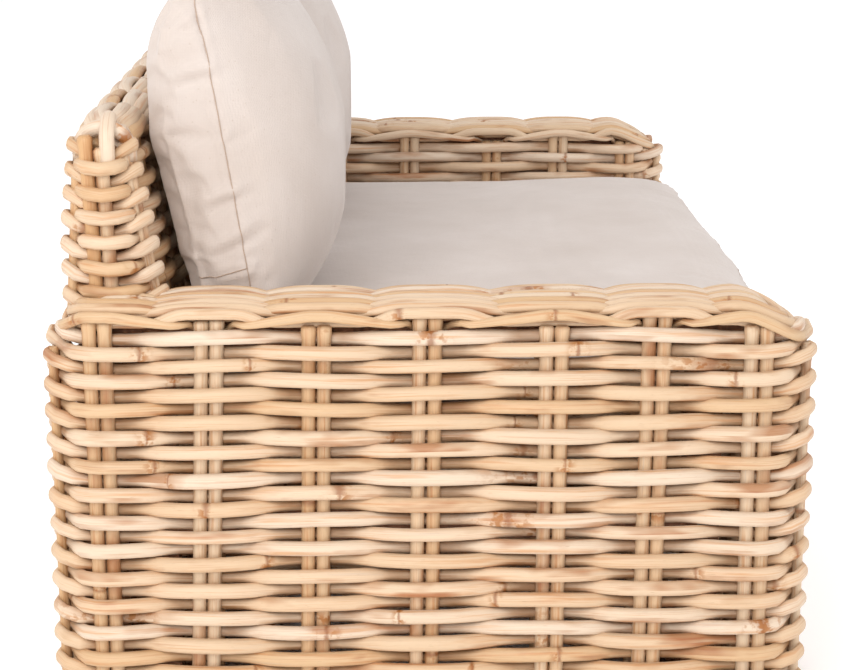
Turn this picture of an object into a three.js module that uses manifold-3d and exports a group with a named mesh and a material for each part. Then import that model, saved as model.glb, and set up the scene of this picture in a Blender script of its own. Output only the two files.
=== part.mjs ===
// Garden sofa of woven rattan cane on a hardwood frame, with loose cushions, in millimetres.
// X runs along the sofa, +Y points to its back, +Z up, and the origin is on the floor at its centre.
import * as THREE from "three";
import { mergeVertices } from "three/addons/utils/BufferGeometryUtils.js";
import Module from "manifold-3d";

const wasm = await Module();
wasm.setup();

// Driving dimensions of the whole sofa.
const WIDTH = 1500; // over the weave of both arms
const DEPTH = 894; // over the weave, front to back
const ARM_HEIGHT = 580; // crest of the arm border
const ARM_THICKNESS = 125;
const BACK_HEIGHT = 777; // crest of the back border
const BACK_BORDER_RISE = 40; // of that crest over the weave
const BACK_TOP_THICKNESS = 94; // over the weave, under the border
const BACK_RAKE = THREE.MathUtils.degToRad(10); // lean of the front of the back
const BACK_OVERHANG = 85; // how far the upper back stands out over each arm
const BACK_INSET = 23; // rear of the back, in from the rear of the arms
const DECK_HEIGHT = 335; // top of the seat slats
const APRON_SETBACK = 25; // front of the apron, in from the front of the arms

// Clearances.
const FIT = 0.3; // between two pieces that touch
const OVERRUN = 6; // how far a cut runs past what it cuts

// The woven wall: canes pass outside and inside pairs of upright stakes.
const ROW_PITCH = 16.8; // height of one row of cane
const UPPER_BACK_ROWS = 11;
const STAKE_RADIUS = 8;
const STAKE_GAP = 1; // between the two stakes of a pair
const STAKE_SIDES = 6;
const WALL_OUT = 22; // middle of the stakes to the crest of a row, outside
const WALL_IN = 15; // middle of the stakes to the inner side
const STAKE_COVER = 3; // weave left over the stakes where a row stands back
const ROW_RELIEF = WALL_OUT - STAKE_RADIUS - STAKE_COVER; // how far a row stands back there
const CORNER_RELIEF_SHARE = 0.45; // of that relief, on a corner
const WALL = WALL_OUT + WALL_IN;
const POLE_WIDTH = 24; // pole that the stakes stand on
const POLE_HEIGHT = 14;
const ARM_ROWS = 31;
// Pairs of stakes along an arm, as shares of the distance from its middle to its end stakes.
const ARM_PAIR_SHARES = [0.892, 0.595, 0.306, 0.01, -0.327, -0.61, -0.882];
const BAY_PAIR_COUNT = 10;
const CORNER_STAKE_TURN = THREE.MathUtils.degToRad(68); // round the corner from the arm's side
const ARM_CORNER = 58; // corner radius of the arm in plan
const BACK_CORNER = 44; // corner radius of the upper back in plan
const CORNER_STEPS = 2;

// Hardwood frame.
const BAR = 40; // side of a frame bar
const BACK_POST_THICKNESS = 30;
const BACK_RAIL_THICKNESS = 19;
const BOTTOM_RAIL_BASE = 30;
const LEDGER_WIDTH = 32;
const SLAT_THICKNESS = 17.7;
const SLAT_WIDTH = 72;
const SLAT_COUNT = 6;
const BACK_POST_INSET = 85; // middle of an outer back post to the arm
const TENON_LENGTH = 14;
const TENON_THICKNESS = 14;
const TENON_WIDTH = 26;
const ARM_RAIL_END_GAP = 13; // arm top rail to the inside of the woven end

// Nail-on glides and frame bolts.
const GLIDE_HEIGHT = 8;
const GLIDE_RADIUS = 15;
const GLIDE_SIDES = 12;
const NAIL_RADIUS = 2.5;
const NAIL_LENGTH = 14;
const BOLT_RADIUS = 4;
const BOLT_LENGTH = 80;
const BOLT_HEAD_RADIUS = 7;
const BOLT_HEAD_HEIGHT = 4.4;
const BOLT_SIDES = 6;

// Borders: the bundle of canes that closes the top of a woven wall.
const ARM_BUMP_DROP = 7; // dip of the border between two pairs of stakes
const BACK_BUMP_DROP = 5;
const BACK_BUMPS = 11;
const BORDER_EDGE = 10; // height of the border's upright edge
const BUMP_SAMPLES = 4;
// The border's section from its upright edge to its crest, as shares of half its width and its rise.
const BORDER_INSET_SHARES = [0, 0.12, 0.36, 0.88];
const BORDER_RISE_SHARES = [0, 0.5, 0.8, 1];

// Cushions.
const SEAT_CUSHION_THICKNESS = 143;
const SEAT_CUSHION_CROWN = 9; // middle of the top over its seam
const SEAT_CUSHION_CORNER = 70;
const SEAT_CUSHION_OVERHANG = 17; // front of the cushion, out from the front of the arms
const CUSHION_SIDE_GAP = 1.2; // cushion to arm, each side
const BACK_CUSHION_HEIGHT = 486;
const BACK_CUSHION_BOXING = 86; // width of the strip between the two faces
const BACK_CUSHION_CROWN = 112; // fullest point of the front over its seam
const BACK_CUSHION_CORNER = 60;
const CUSHION_WAIST = 7; // how far a side is drawn in between its corners
const CUSHION_STEPS = 6; // steps along each side of a cushion
// Rise and inset of an edge, as shares of its radius, and of a crown, as shares of the crown and
// of half the cushion's narrow side.
const EDGE_SHARES = [[0, 1], [0.3, 0.3], [1, 0]];
const SEAT_CROWN_SHARES = [[0.6, 0.3], [1, 0.6]];
const BACK_CROWN_SHARES = [[0.35, 0.11], [0.7, 0.3], [0.93, 0.52], [1, 0.72]];

const RAKE_SLOPE = Math.tan(BACK_RAKE);
const ARM_X = (WIDTH - ARM_THICKNESS) / 2;
const ARM_INNER_X = WIDTH / 2 - ARM_THICKNESS;
const BAY_HALF = ARM_INNER_X - FIT; // half of the clear width between the arms
const POLE_BASE = GLIDE_HEIGHT;
const WEAVE_BASE = POLE_BASE + POLE_HEIGHT + FIT;
const ARM_WEAVE_TOP = WEAVE_BASE + ARM_ROWS * ROW_PITCH;
const BACK_WEAVE_TOP = BACK_HEIGHT - BACK_BORDER_RISE;
const UPPER_BACK_BASE = ARM_HEIGHT + FIT;
const UPPER_BACK_HALF = ARM_INNER_X + BACK_OVERHANG;
const BACK_REAR_Y = DEPTH / 2 - BACK_INSET;
const BACK_CAVITY_REAR_Y = BACK_REAR_Y - WALL;
const APRON_FRONT_Y = -(DEPTH / 2 - APRON_SETBACK);
const RAIL_TOP = DECK_HEIGHT - SLAT_THICKNESS - FIT;
const RAIL_BASE = RAIL_TOP - BAR;
const POST_BASE = GLIDE_HEIGHT + FIT;
const ARM_RAIL_TOP = ARM_WEAVE_TOP;
const ARM_RAIL_BASE = ARM_RAIL_TOP - BAR;
const POST_INNER_X = ARM_X - BAR / 2;
const BACK_POST_X = BAY_HALF - BACK_POST_INSET;
const CUSHION_BASE = DECK_HEIGHT + FIT;

// Stakes: the pairs along an arm, from its back to its front, and those along the sofa.
const ARM_PAIR_Y = ARM_PAIR_SHARES.map((share) => share * (DEPTH / 2 - WALL_OUT));
const BAY_PAIR_PITCH = (2 * BAY_HALF) / BAY_PAIR_COUNT;
const BAY_PAIR_X = Array.from(
  { length: BAY_PAIR_COUNT },
  (_, i) => (i - (BAY_PAIR_COUNT - 1) / 2) * BAY_PAIR_PITCH,
);

// The posts of an arm stand between its last two pairs of stakes at each end.
const middleOf = (a, b) => (a + b) / 2;
const REAR_POST_Y = middleOf(ARM_PAIR_Y[0], ARM_PAIR_Y[1]);
const FRONT_POST_Y = middleOf(ARM_PAIR_Y[ARM_PAIR_Y.length - 2], ARM_PAIR_Y[ARM_PAIR_Y.length - 1]);
const REAR_RAIL_REAR_Y = REAR_POST_Y + BAR / 2;
const CENTRE_LEG_Y = middleOf(FRONT_POST_Y, REAR_POST_Y);

const finish = (name, color, roughness, metalness = 0) =>
  new THREE.MeshStandardMaterial({ name, color, roughness, metalness });
const weaveCane = finish("weave_cane", 0xe2c094, 0.5);
const borderCane = finish("border_cane", 0xe8cba4, 0.5);
const stakeCane = finish("stake_cane", 0xd8b080, 0.55);
const hardwood = finish("hardwood", 0x8a5a3a, 0.6);
const cotton = finish("cotton", 0xe4dbd5, 0.9);
const nylon = finish("nylon", 0x3a3430, 0.5);
const steel = finish("zinc_steel", 0xa9adb0, 0.35, 1);

// A three.js geometry as a solid that can be joined and cut.
function solidOf(geometry) {
  const bare = geometry.clone();
  bare.deleteAttribute("normal");
  bare.deleteAttribute("uv");
  const merged = mergeVertices(bare, FIT / 100);
  return new wasm.Manifold(
    new wasm.Mesh({
      numProp: 3,
      vertProperties: new Float32Array(merged.attributes.position.array),
      triVerts: new Uint32Array(merged.index.array),
    }),
  );
}

// The solid's triangles as a three.js geometry.
function geometryOf(solid) {
  const mesh = solid.getMesh();
  const geometry = new THREE.BufferGeometry();
  geometry.setAttribute("position", new THREE.BufferAttribute(mesh.vertProperties, 3));
  geometry.setIndex(new THREE.BufferAttribute(mesh.triVerts, 1));
  const flat = geometry.toNonIndexed();
  flat.computeVertexNormals();
  return flat;
}

// A block between two values on each axis.
function block([x0, x1], [y0, y1], [z0, z1]) {
  const geometry = new THREE.BoxGeometry(x1 - x0, y1 - y0, z1 - z0);
  geometry.translate((x0 + x1) / 2, (y0 + y1) / 2, (z0 + z1) / 2);
  return solidOf(geometry);
}

// Loops with the same number of points, skinned from the first to the last and capped at both.
// A woven skin folds each face along its deeper diagonal, so that every crossing stands alone.
function skin(loops, woven = false) {
  const count = loops[0].length;
  const flatEnd = (loop) => {
    const middle = loop.reduce((sum, p) => sum.add(p), new THREE.Vector3()).divideScalar(count);
    const normal = new THREE.Vector3();
    loop.forEach((p, i) => {
      const next = loop[(i + 1) % count];
      normal.add(p.clone().sub(middle).cross(next.clone().sub(middle)));
    });
    const turn = new THREE.Quaternion().setFromUnitVectors(normal.normalize(), new THREE.Vector3(0, 0, 1));
    return loop.map((p) => {
      const q = p.clone().sub(middle).applyQuaternion(turn);
      return new THREE.Vector2(q.x, q.y);
    });
  };
  // The triangles of a cap, their corners in the loop's own order.
  const cap = (loop) =>
    THREE.ShapeUtils.triangulateShape(flatEnd(loop), []).map((t) => [...t].sort((a, b) => a - b));
  const points = loops.flat();
  const middle = points
    .reduce((sum, p) => sum.add(p), new THREE.Vector3())
    .divideScalar(points.length);
  const depthOf = (i, k) => points[i].clone().lerp(points[k], 1 / 2).distanceTo(middle);
  const faces = [];
  cap(loops[0]).forEach(([a, b, c]) => faces.push(a, c, b));
  for (let i = 0; i + 1 < loops.length; i++)
    for (let k = 0; k < count; k++) {
      const a = i * count + k;
      const b = i * count + ((k + 1) % count);
      if (woven && depthOf(b, a + count) < depthOf(a, b + count))
        faces.push(a, b, a + count, b, b + count, a + count);
      else faces.push(a, b, b + count, a, b + count, a + count);
    }
  const last = (loops.length - 1) * count;
  cap(loops[loops.length - 1]).forEach((t) => faces.push(...t.map((v) => v + last)));
  let volume = 0;
  for (let i = 0; i < faces.length; i += 3) {
    const [a, b, c] = [0, 1, 2].map((n) => points[faces[i + n]]);
    volume += a.dot(b.clone().cross(c));
  }
  if (volume < 0) faces.reverse();
  const geometry = new THREE.BufferGeometry();
  const places = points.flatMap((p) => p.toArray());
  geometry.setAttribute("position", new THREE.Float32BufferAttribute(places, 3));
  geometry.setIndex(faces);
  return solidOf(geometry);
}

// A rounded rectangle, counterclockwise, its straight sides divided into steps.
function roundedRectangle(halfX, halfY, radius, cornerSteps, stepsX = 1, stepsY = 1) {
  const points = [];
  const corners = [[1, 1], [-1, 1], [-1, -1], [1, -1]];
  corners.forEach(([sx, sy], corner) => {
    const centre = new THREE.Vector2(sx * (halfX - radius), sy * (halfY - radius));
    for (let i = 0; i <= cornerSteps; i++) {
      const angle = ((corner + i / cornerSteps) * Math.PI) / 2;
      points.push(new THREE.Vector2(Math.cos(angle), Math.sin(angle)).multiplyScalar(radius).add(centre));
    }
    const from = points[points.length - 1];
    const [nx, ny] = corners[(corner + 1) % corners.length];
    const along = corner % 2 === 0 ? stepsX : stepsY;
    const to = new THREE.Vector2(
      corner % 2 === 0 ? nx * (halfX - radius) : from.x,
      corner % 2 === 0 ? from.y : ny * (halfY - radius),
    );
    for (let i = 1; i < along; i++) points.push(from.clone().lerp(to, i / along));
  });
  return points;
}

const atHeight = (z) => (p) => new THREE.Vector3(p.x, p.y, z);

// Outlines of a woven wall between two heights, one for each row.
const rowLoops = (low, high, rows, outlineAt) =>
  Array.from({ length: rows + 1 }, (_, row) => outlineAt(low + ((high - low) * row) / rows, row));

// A row passes outside one station and stands back behind the next, the other way in the next row.
const standBack = (station) => (station % 2 === 0 ? 0 : ROW_RELIEF);

// Where the stakes of one wall stand: pairs lie along the wall, single stakes on its corners.
const PAIR_OFFSET = STAKE_RADIUS + STAKE_GAP / 2;
const PAIR_REACH = PAIR_OFFSET + STAKE_RADIUS;

// A row round a wall of four sides, with a station on each corner and at each place on its sides.
function rowRound(halfX, halfY, radius, placesX, placesY, row) {
  const points = [];
  let station = row;
  [[1, 1], [-1, 1], [-1, -1], [1, -1]].forEach(([sx, sy], corner) => {
    const arc = radius - CORNER_RELIEF_SHARE * standBack(station++);
    for (let i = 0; i <= CORNER_STEPS; i++) {
      const angle = ((corner + i / CORNER_STEPS) * Math.PI) / 2;
      const centre = new THREE.Vector2(sx * (halfX - radius), sy * (halfY - radius));
      points.push(centre.add(new THREE.Vector2(Math.cos(angle), Math.sin(angle)).multiplyScalar(arc)));
    }
    const alongX = corner % 2 === 0;
    const heading = corner < 2 ? -1 : 1;
    const places = [...(alongX ? placesX : placesY)].sort((a, b) => heading * (a - b));
    for (const place of places) {
      const back = standBack(station++);
      for (const end of [-heading, heading]) {
        points.push(
          alongX
            ? new THREE.Vector2(place + end * PAIR_REACH, sy * (halfY - back))
            : new THREE.Vector2(sx * (halfX - back), place + end * PAIR_REACH),
        );
      }
    }
  });
  return points;
}

// A row of a straight wall between the arms, from its plain inner side to its woven face.
function rowBetweenArms(innerY, faceY, row) {
  const outward = Math.sign(faceY - innerY);
  const face = BAY_PAIR_X.flatMap((x, i) =>
    [-PAIR_REACH, PAIR_REACH].map(
      (along) => new THREE.Vector2(x + along, faceY - outward * standBack(row + i)),
    ),
  );
  const ends = [-1, BAY_PAIR_COUNT].map((i) => faceY - outward * standBack(row + i + 2));
  return [
    new THREE.Vector2(BAY_HALF, innerY),
    new THREE.Vector2(-BAY_HALF, innerY),
    new THREE.Vector2(-BAY_HALF, ends[0]),
    ...face,
    new THREE.Vector2(BAY_HALF, ends[1]),
  ];
}

const pair = (x, y, alongX) => ({ x, y, alongX, canes: [-PAIR_OFFSET, PAIR_OFFSET] });
const single = (x, y) => ({ x, y, alongX: true, canes: [0] });

// One stake from low to high; shift gives its Y offset at a height.
function stake(station, offset, low, high, shift) {
  const x = station.x + (station.alongX ? offset : 0);
  const y = station.y + (station.alongX ? 0 : offset);
  const ring = (z) =>
    Array.from({ length: STAKE_SIDES }, (_, i) => {
      const angle = (i / STAKE_SIDES) * 2 * Math.PI;
      return new THREE.Vector3(
        x + STAKE_RADIUS * Math.cos(angle),
        y + shift(z) + STAKE_RADIUS * Math.sin(angle),
        z,
      );
    });
  return skin([ring(low), ring(high)]);
}

// The slot in a woven wall that a station's stakes stand in.
function stakeSlot(station, low, high, shift) {
  const reach = STAKE_RADIUS + FIT;
  const long = station.canes[station.canes.length - 1] + reach;
  const halfX = station.alongX ? long : reach;
  const halfY = station.alongX ? reach : long;
  const ring = (z) =>
    [[1, 1], [-1, 1], [-1, -1], [1, -1]].map(
      ([sx, sy]) => new THREE.Vector3(station.x + sx * halfX, station.y + shift(z) + sy * halfY, z),
    );
  return skin([ring(low - OVERRUN), ring(high + OVERRUN)]);
}

const upright = () => 0;
const unite = (solids) => solids.reduce((sum, s) => sum.add(s));
const cut = (solid, tools) => tools.reduce((rest, tool) => rest.subtract(tool), solid);

// The mortise for a tenon, from the tenon's own block.
const mortise = (ranges) => block(...ranges.map(([low, high]) => [low - FIT, high + FIT]));

const nail = (x, y, reach) => {
  const shape = new THREE.CylinderGeometry(reach, reach, NAIL_LENGTH, BOLT_SIDES);
  shape.rotateX(Math.PI / 2);
  shape.translate(x, y, POST_BASE + NAIL_LENGTH / 2 - OVERRUN / 2);
  return shape;
};

// A glide that is nailed under a post.
function glide(x, y) {
  const disc = new THREE.CylinderGeometry(GLIDE_RADIUS, GLIDE_RADIUS, GLIDE_HEIGHT, GLIDE_SIDES);
  disc.rotateX(Math.PI / 2);
  disc.translate(x, y, GLIDE_HEIGHT / 2);
  return solidOf(disc).add(solidOf(nail(x, y, NAIL_RADIUS)));
}
const glideHole = (x, y) => {
  const around = (middle) => [middle - NAIL_RADIUS, middle + NAIL_RADIUS];
  return solidOf(nail(x, y, NAIL_RADIUS + FIT)).add(
    block(around(x), around(y), [POST_BASE, POST_BASE + NAIL_LENGTH]),
  );
};

// A frame bolt along X from a post's outer face into the end of a rail; side is the arm's sign.
function boltShape(side, y, z, radius, length) {
  const shape = new THREE.CylinderGeometry(radius, radius, length, BOLT_SIDES);
  shape.rotateZ(Math.PI / 2);
  shape.translate(side * (ARM_X + BAR / 2 - length / 2), y, z);
  return solidOf(shape);
}
function bolt(side, y, z) {
  const head = new THREE.CylinderGeometry(BOLT_HEAD_RADIUS, BOLT_HEAD_RADIUS, BOLT_HEAD_HEIGHT, BOLT_SIDES);
  head.rotateZ(Math.PI / 2);
  head.translate(side * (ARM_X + BAR / 2 + FIT + BOLT_HEAD_HEIGHT / 2), y, z);
  return boltShape(side, y, z, BOLT_RADIUS, BOLT_LENGTH)
    .translate([side * (FIT + BOLT_HEAD_HEIGHT / 2), 0, 0])
    .add(solidOf(head));
}
const boltHole = (side, y, z) =>
  boltShape(side, y, z, BOLT_RADIUS + FIT, BOLT_LENGTH + 2 * OVERRUN).translate([side * OVERRUN, 0, 0]);

const sofa = new THREE.Group();
function place(parent, name, solid, material) {
  const mesh = new THREE.Mesh(geometryOf(solid), material);
  mesh.name = name;
  parent.add(mesh);
}

const BOLT_Z = RAIL_BASE + BAR / 2;
const BOTTOM_RAIL = [BOTTOM_RAIL_BASE, BOTTOM_RAIL_BASE + BAR];
const SEAT_RAIL = [RAIL_BASE, RAIL_TOP];
const FRONT_RAIL_Y = [FRONT_POST_Y - BAR / 2, FRONT_POST_Y + BAR / 2];
const REAR_RAIL_Y = [REAR_POST_Y - BAR / 2, REAR_RAIL_REAR_Y];

// The arms. Each is modelled about its own middle and stands in a group at its place.
const armMidHalfX = ARM_THICKNESS / 2 - WALL_OUT;
const armMidHalfY = DEPTH / 2 - WALL_OUT;
const armMidCorner = ARM_CORNER - WALL_OUT;
const cornerStakeX = armMidHalfX - armMidCorner * (1 - Math.cos(CORNER_STAKE_TURN));
const cornerStakeY = armMidHalfY - armMidCorner * (1 - Math.sin(CORNER_STAKE_TURN));
const armStations = [
  ...[-1, 1].flatMap((sx) => ARM_PAIR_Y.map((y) => pair(sx * armMidHalfX, y, false))),
  ...[-1, 1].flatMap((sx) => [-1, 1].map((sy) => single(sx * cornerStakeX, sy * cornerStakeY))),
];

const armOutline = (inset, steps = 1) =>
  roundedRectangle(
    ARM_THICKNESS / 2 - inset,
    DEPTH / 2 - inset,
    Math.max(ARM_CORNER - inset, FIT),
    CORNER_STEPS,
    1,
    steps,
  );
// The rows of the two arms start so that they match on the arms' outer sides.
const armRow = (side) => (z, row) => {
  const start = side < 0 ? row + 1 : row;
  return rowRound(ARM_THICKNESS / 2, DEPTH / 2, ARM_CORNER, [], ARM_PAIR_Y, start).map(atHeight(z));
};

// The woven skin of an arm: an open tube with slots for its stakes and notches for the rails.
function armWeave(side) {
  const outer = skin(rowLoops(WEAVE_BASE, ARM_WEAVE_TOP, ARM_ROWS, armRow(side)), true);
  const cavity = skin(
    [WEAVE_BASE - OVERRUN, ARM_WEAVE_TOP + OVERRUN].map((z) => armOutline(WALL).map(atHeight(z))),
  );
  const slots = armStations.map((s) => stakeSlot(s, WEAVE_BASE, ARM_WEAVE_TOP, upright));
  const wallX = [ARM_THICKNESS / 2 - WALL - OVERRUN, ARM_THICKNESS / 2 + OVERRUN].map((x) => -side * x);
  const notches = [FRONT_RAIL_Y, REAR_RAIL_Y].flatMap((y) =>
    [BOTTOM_RAIL, SEAT_RAIL].map((z) => mortise([[Math.min(...wallX), Math.max(...wallX)], y, z])),
  );
  return cut(outer, [cavity, ...slots, ...notches]);
}

// The pole that lies under the woven skin, with the arm's stakes standing on it.
function armStakes() {
  const ring = (half) => (z) =>
    roundedRectangle(
      armMidHalfX + half,
      armMidHalfY + half,
      armMidCorner + half,
      CORNER_STEPS,
    ).map(atHeight(z));
  const outside = ring(POLE_WIDTH / 2);
  const inside = ring(-POLE_WIDTH / 2);
  const pole = skin([outside(POLE_BASE), outside(POLE_BASE + POLE_HEIGHT)]).subtract(
    skin([inside(POLE_BASE - OVERRUN), inside(POLE_BASE + POLE_HEIGHT + OVERRUN)]),
  );
  const low = POLE_BASE + POLE_HEIGHT / 2;
  const canes = armStations.flatMap((s) => s.canes.map((c) => stake(s, c, low, ARM_WEAVE_TOP, upright)));
  return unite([pole, ...canes]);
}

// A border's loops: upright at its edge, then domed; dip is how far it sinks between its crests.
function borderLoops(base, rise, half, outlineAt, dip) {
  const levels = [[0, 0], ...BORDER_RISE_SHARES.map((share, i) => [
    BORDER_EDGE + share * (rise - BORDER_EDGE),
    BORDER_INSET_SHARES[i] * half,
  ])];
  return levels.map(([up, inset]) =>
    outlineAt(inset).map((p) =>
      new THREE.Vector3(p.x, p.y, base + up * (1 - (dip(p) / rise))),
    ),
  );
}

// The domed border of an arm, with a rise over each pair of stakes.
function armBorder() {
  const base = ARM_WEAVE_TOP + FIT;
  const half = ARM_THICKNESS / 2;
  const steps = ARM_PAIR_Y.length * BUMP_SAMPLES;
  const dip = (p) => {
    const nearest = Math.min(...ARM_PAIR_Y.map((at) => Math.abs(at - p.y)));
    const spacing = (ARM_PAIR_Y[0] - ARM_PAIR_Y[ARM_PAIR_Y.length - 1]) / (ARM_PAIR_Y.length - 1);
    return ARM_BUMP_DROP * Math.sin(Math.min(nearest / spacing, 0.5) * Math.PI) ** 2;
  };
  return skin(borderLoops(base, ARM_HEIGHT - base, half, (inset) => armOutline(inset, steps), dip));
}

const ARM_CAVITY_END = DEPTH / 2 - WALL;
for (const [side, label] of [[-1, "left"], [1, "right"]]) {
  const arm = new THREE.Group();
  arm.position.x = side * ARM_X;
  sofa.add(arm);
  place(arm, `${label}_arm_weave`, armWeave(side), weaveCane);
  place(arm, `${label}_arm_stakes`, armStakes(), stakeCane);
  place(arm, `${label}_arm_border`, armBorder(), borderCane);

  const barX = [-BAR / 2, BAR / 2];
  const topRailEnd = ARM_CAVITY_END - ARM_RAIL_END_GAP;
  const betweenPosts = [FRONT_POST_Y + BAR / 2 + FIT, REAR_POST_Y - BAR / 2 - FIT];
  const postTenon = (y) => [
    [-TENON_THICKNESS / 2, TENON_THICKNESS / 2],
    [y - TENON_WIDTH / 2, y + TENON_WIDTH / 2],
    [ARM_RAIL_BASE - FIT, ARM_RAIL_BASE - FIT + TENON_LENGTH],
  ];
  const railTenons = [BOTTOM_RAIL, SEAT_RAIL].map(([low, high]) => [
    [-TENON_THICKNESS / 2, TENON_THICKNESS / 2],
    [betweenPosts[0] - TENON_LENGTH, betweenPosts[1] + TENON_LENGTH],
    [(low + high) / 2 - TENON_WIDTH / 2, (low + high) / 2 + TENON_WIDTH / 2],
  ]);
  for (const [end, y] of [["front", FRONT_POST_Y], ["rear", REAR_POST_Y]]) {
    const body = block(barX, [y - BAR / 2, y + BAR / 2], [POST_BASE, ARM_RAIL_BASE - FIT]);
    const post = cut(body.add(block(...postTenon(y))), [
      ...railTenons.map(mortise),
      glideHole(0, y),
      boltHole(side, y, BOLT_Z).translate([-side * ARM_X, 0, 0]),
    ]);
    place(arm, `${label}_${end}_post`, post, hardwood);
    place(arm, `${label}_${end}_glide`, glide(0, y), nylon);
    place(arm, `${label}_${end}_bolt`, bolt(side, y, BOLT_Z).translate([-side * ARM_X, 0, 0]), steel);
  }
  const topRail = cut(
    block(barX, [-topRailEnd, topRailEnd], [ARM_RAIL_BASE, ARM_RAIL_TOP]),
    [FRONT_POST_Y, REAR_POST_Y].map((y) => mortise(postTenon(y))),
  );
  place(arm, `${label}_arm_top_rail`, topRail, hardwood);
  [["bottom", BOTTOM_RAIL], ["seat", SEAT_RAIL]].forEach(([level, z], i) => {
    const solid = block(barX, betweenPosts, z).add(block(...railTenons[i]));
    place(arm, `${label}_arm_${level}_rail`, solid, hardwood);
  });
}

// The back: a rear wall, a raked front wall and, over the arms, rounded ends.
const backFrontAt = (z) => BACK_REAR_Y - BACK_TOP_THICKNESS - (BACK_WEAVE_TOP - z) * RAKE_SLOPE;
function upperBackRow(z, row) {
  const front = backFrontAt(z);
  const halfY = (BACK_REAR_Y - front) / 2;
  return rowRound(UPPER_BACK_HALF, halfY, BACK_CORNER, BAY_PAIR_X, [0], row).map(
    (p) => new THREE.Vector3(p.x, p.y + (BACK_REAR_Y + front) / 2, z),
  );
}
const lowerBackRow = (z, row) => rowBetweenArms(backFrontAt(z), BACK_REAR_Y, row).map(atHeight(z));
const rearMid = BACK_REAR_Y - WALL_OUT;
const frontMidAt = (z) => backFrontAt(z) + WALL_OUT;
const rearStations = BAY_PAIR_X.map((x) => pair(x, rearMid, true));
const frontStations = BAY_PAIR_X.map((x) => pair(x, 0, true));

function backWeave() {
  const lowerHigh = UPPER_BACK_BASE + OVERRUN;
  const lowerRows = Math.round((lowerHigh - WEAVE_BASE) / ROW_PITCH);
  const lower = skin(rowLoops(WEAVE_BASE, lowerHigh, lowerRows, lowerBackRow), true);
  const upper = skin(rowLoops(UPPER_BACK_BASE, BACK_WEAVE_TOP, UPPER_BACK_ROWS, upperBackRow), true);
  const hollow = (halfX, low, high) => {
    const ring = (z) =>
      [[1, 1], [-1, 1], [-1, -1], [1, -1]].map(
        ([sx, sy]) =>
          new THREE.Vector3(sx * halfX, sy > 0 ? BACK_CAVITY_REAR_Y : backFrontAt(z) + WALL, z),
      );
    return skin([ring(low), ring(high)]);
  };
  const underDeck = block(
    [-UPPER_BACK_HALF, UPPER_BACK_HALF],
    [0, BACK_CAVITY_REAR_Y],
    [0, CUSHION_BASE],
  );
  return cut(lower.add(upper), [
    hollow(UPPER_BACK_HALF - WALL, 0, BACK_HEIGHT),
    hollow(WIDTH, 0, UPPER_BACK_BASE),
    underDeck,
    ...rearStations.map((s) => stakeSlot(s, WEAVE_BASE, BACK_WEAVE_TOP, upright)),
    ...frontStations.map((s) => stakeSlot(s, DECK_HEIGHT, BACK_WEAVE_TOP, frontMidAt)),
  ]);
}

// Stakes along the sofa that stand on one straight pole.
function ladder(stations, poleY, poleZ, high, shift) {
  const pole = block([-BAY_HALF, BAY_HALF], [poleY - POLE_WIDTH / 2, poleY + POLE_WIDTH / 2], poleZ);
  const low = (poleZ[0] + poleZ[1]) / 2;
  return unite([pole, ...stations.flatMap((s) => s.canes.map((c) => stake(s, c, low, high, shift)))]);
}
const FLOOR_POLE = [POLE_BASE, POLE_BASE + POLE_HEIGHT];
const DECK_POLE = [RAIL_TOP + FIT, DECK_HEIGHT];

function backBorder() {
  const base = BACK_WEAVE_TOP + FIT;
  const half = BACK_TOP_THICKNESS / 2;
  const straight = UPPER_BACK_HALF - BACK_CORNER;
  const dip = (p) => BACK_BUMP_DROP * Math.cos((p.x / straight) * BACK_BUMPS * Math.PI) ** 2;
  const middleY = BACK_REAR_Y - half;
  const outline = (inset) =>
    roundedRectangle(
      UPPER_BACK_HALF - inset,
      half - inset,
      Math.max(BACK_CORNER - inset, FIT),
      CORNER_STEPS,
      2 * BACK_BUMPS,
    ).map((p) => p.setY(p.y + middleY));
  return skin(borderLoops(base, BACK_HEIGHT - base, half, outline, dip));
}

place(sofa, "back_weave", backWeave(), weaveCane);
place(sofa, "back_border", backBorder(), borderCane);
place(
  sofa,
  "back_rear_stakes",
  ladder(rearStations, rearMid, FLOOR_POLE, BACK_WEAVE_TOP, upright),
  stakeCane,
);
place(
  sofa,
  "back_front_stakes",
  ladder(frontStations, frontMidAt(DECK_HEIGHT), DECK_POLE, BACK_WEAVE_TOP, frontMidAt),
  stakeCane,
);

// Shaped back posts carry both walls of the back, and a rail lies on top of them.
const backRailBase = BACK_WEAVE_TOP - BAR;
const backPostFrontAt = (z) => Math.max(backFrontAt(z) + WALL + FIT, REAR_RAIL_REAR_Y + FIT);
function backPost(x) {
  const top = backRailBase - FIT;
  const kneeZ = BACK_WEAVE_TOP - (BACK_REAR_Y - BACK_TOP_THICKNESS + WALL - REAR_RAIL_REAR_Y) / RAKE_SLOPE;
  const rear = BACK_CAVITY_REAR_Y - FIT;
  const profile = new THREE.Shape([
    new THREE.Vector2(backPostFrontAt(POST_BASE), POST_BASE),
    new THREE.Vector2(rear, POST_BASE),
    new THREE.Vector2(rear, top),
    new THREE.Vector2(backPostFrontAt(top), top),
    new THREE.Vector2(backPostFrontAt(kneeZ), kneeZ),
  ]);
  const shape = new THREE.ExtrudeGeometry(profile, { depth: BACK_POST_THICKNESS, bevelEnabled: false });
  shape.rotateX(Math.PI / 2);
  shape.rotateZ(Math.PI / 2);
  shape.translate(x - BACK_POST_THICKNESS / 2, 0, 0);
  return cut(solidOf(shape), [glideHole(x, backPostGlideY)]);
}
const backPostGlideY = (REAR_RAIL_REAR_Y + BACK_CAVITY_REAR_Y) / 2;
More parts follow.
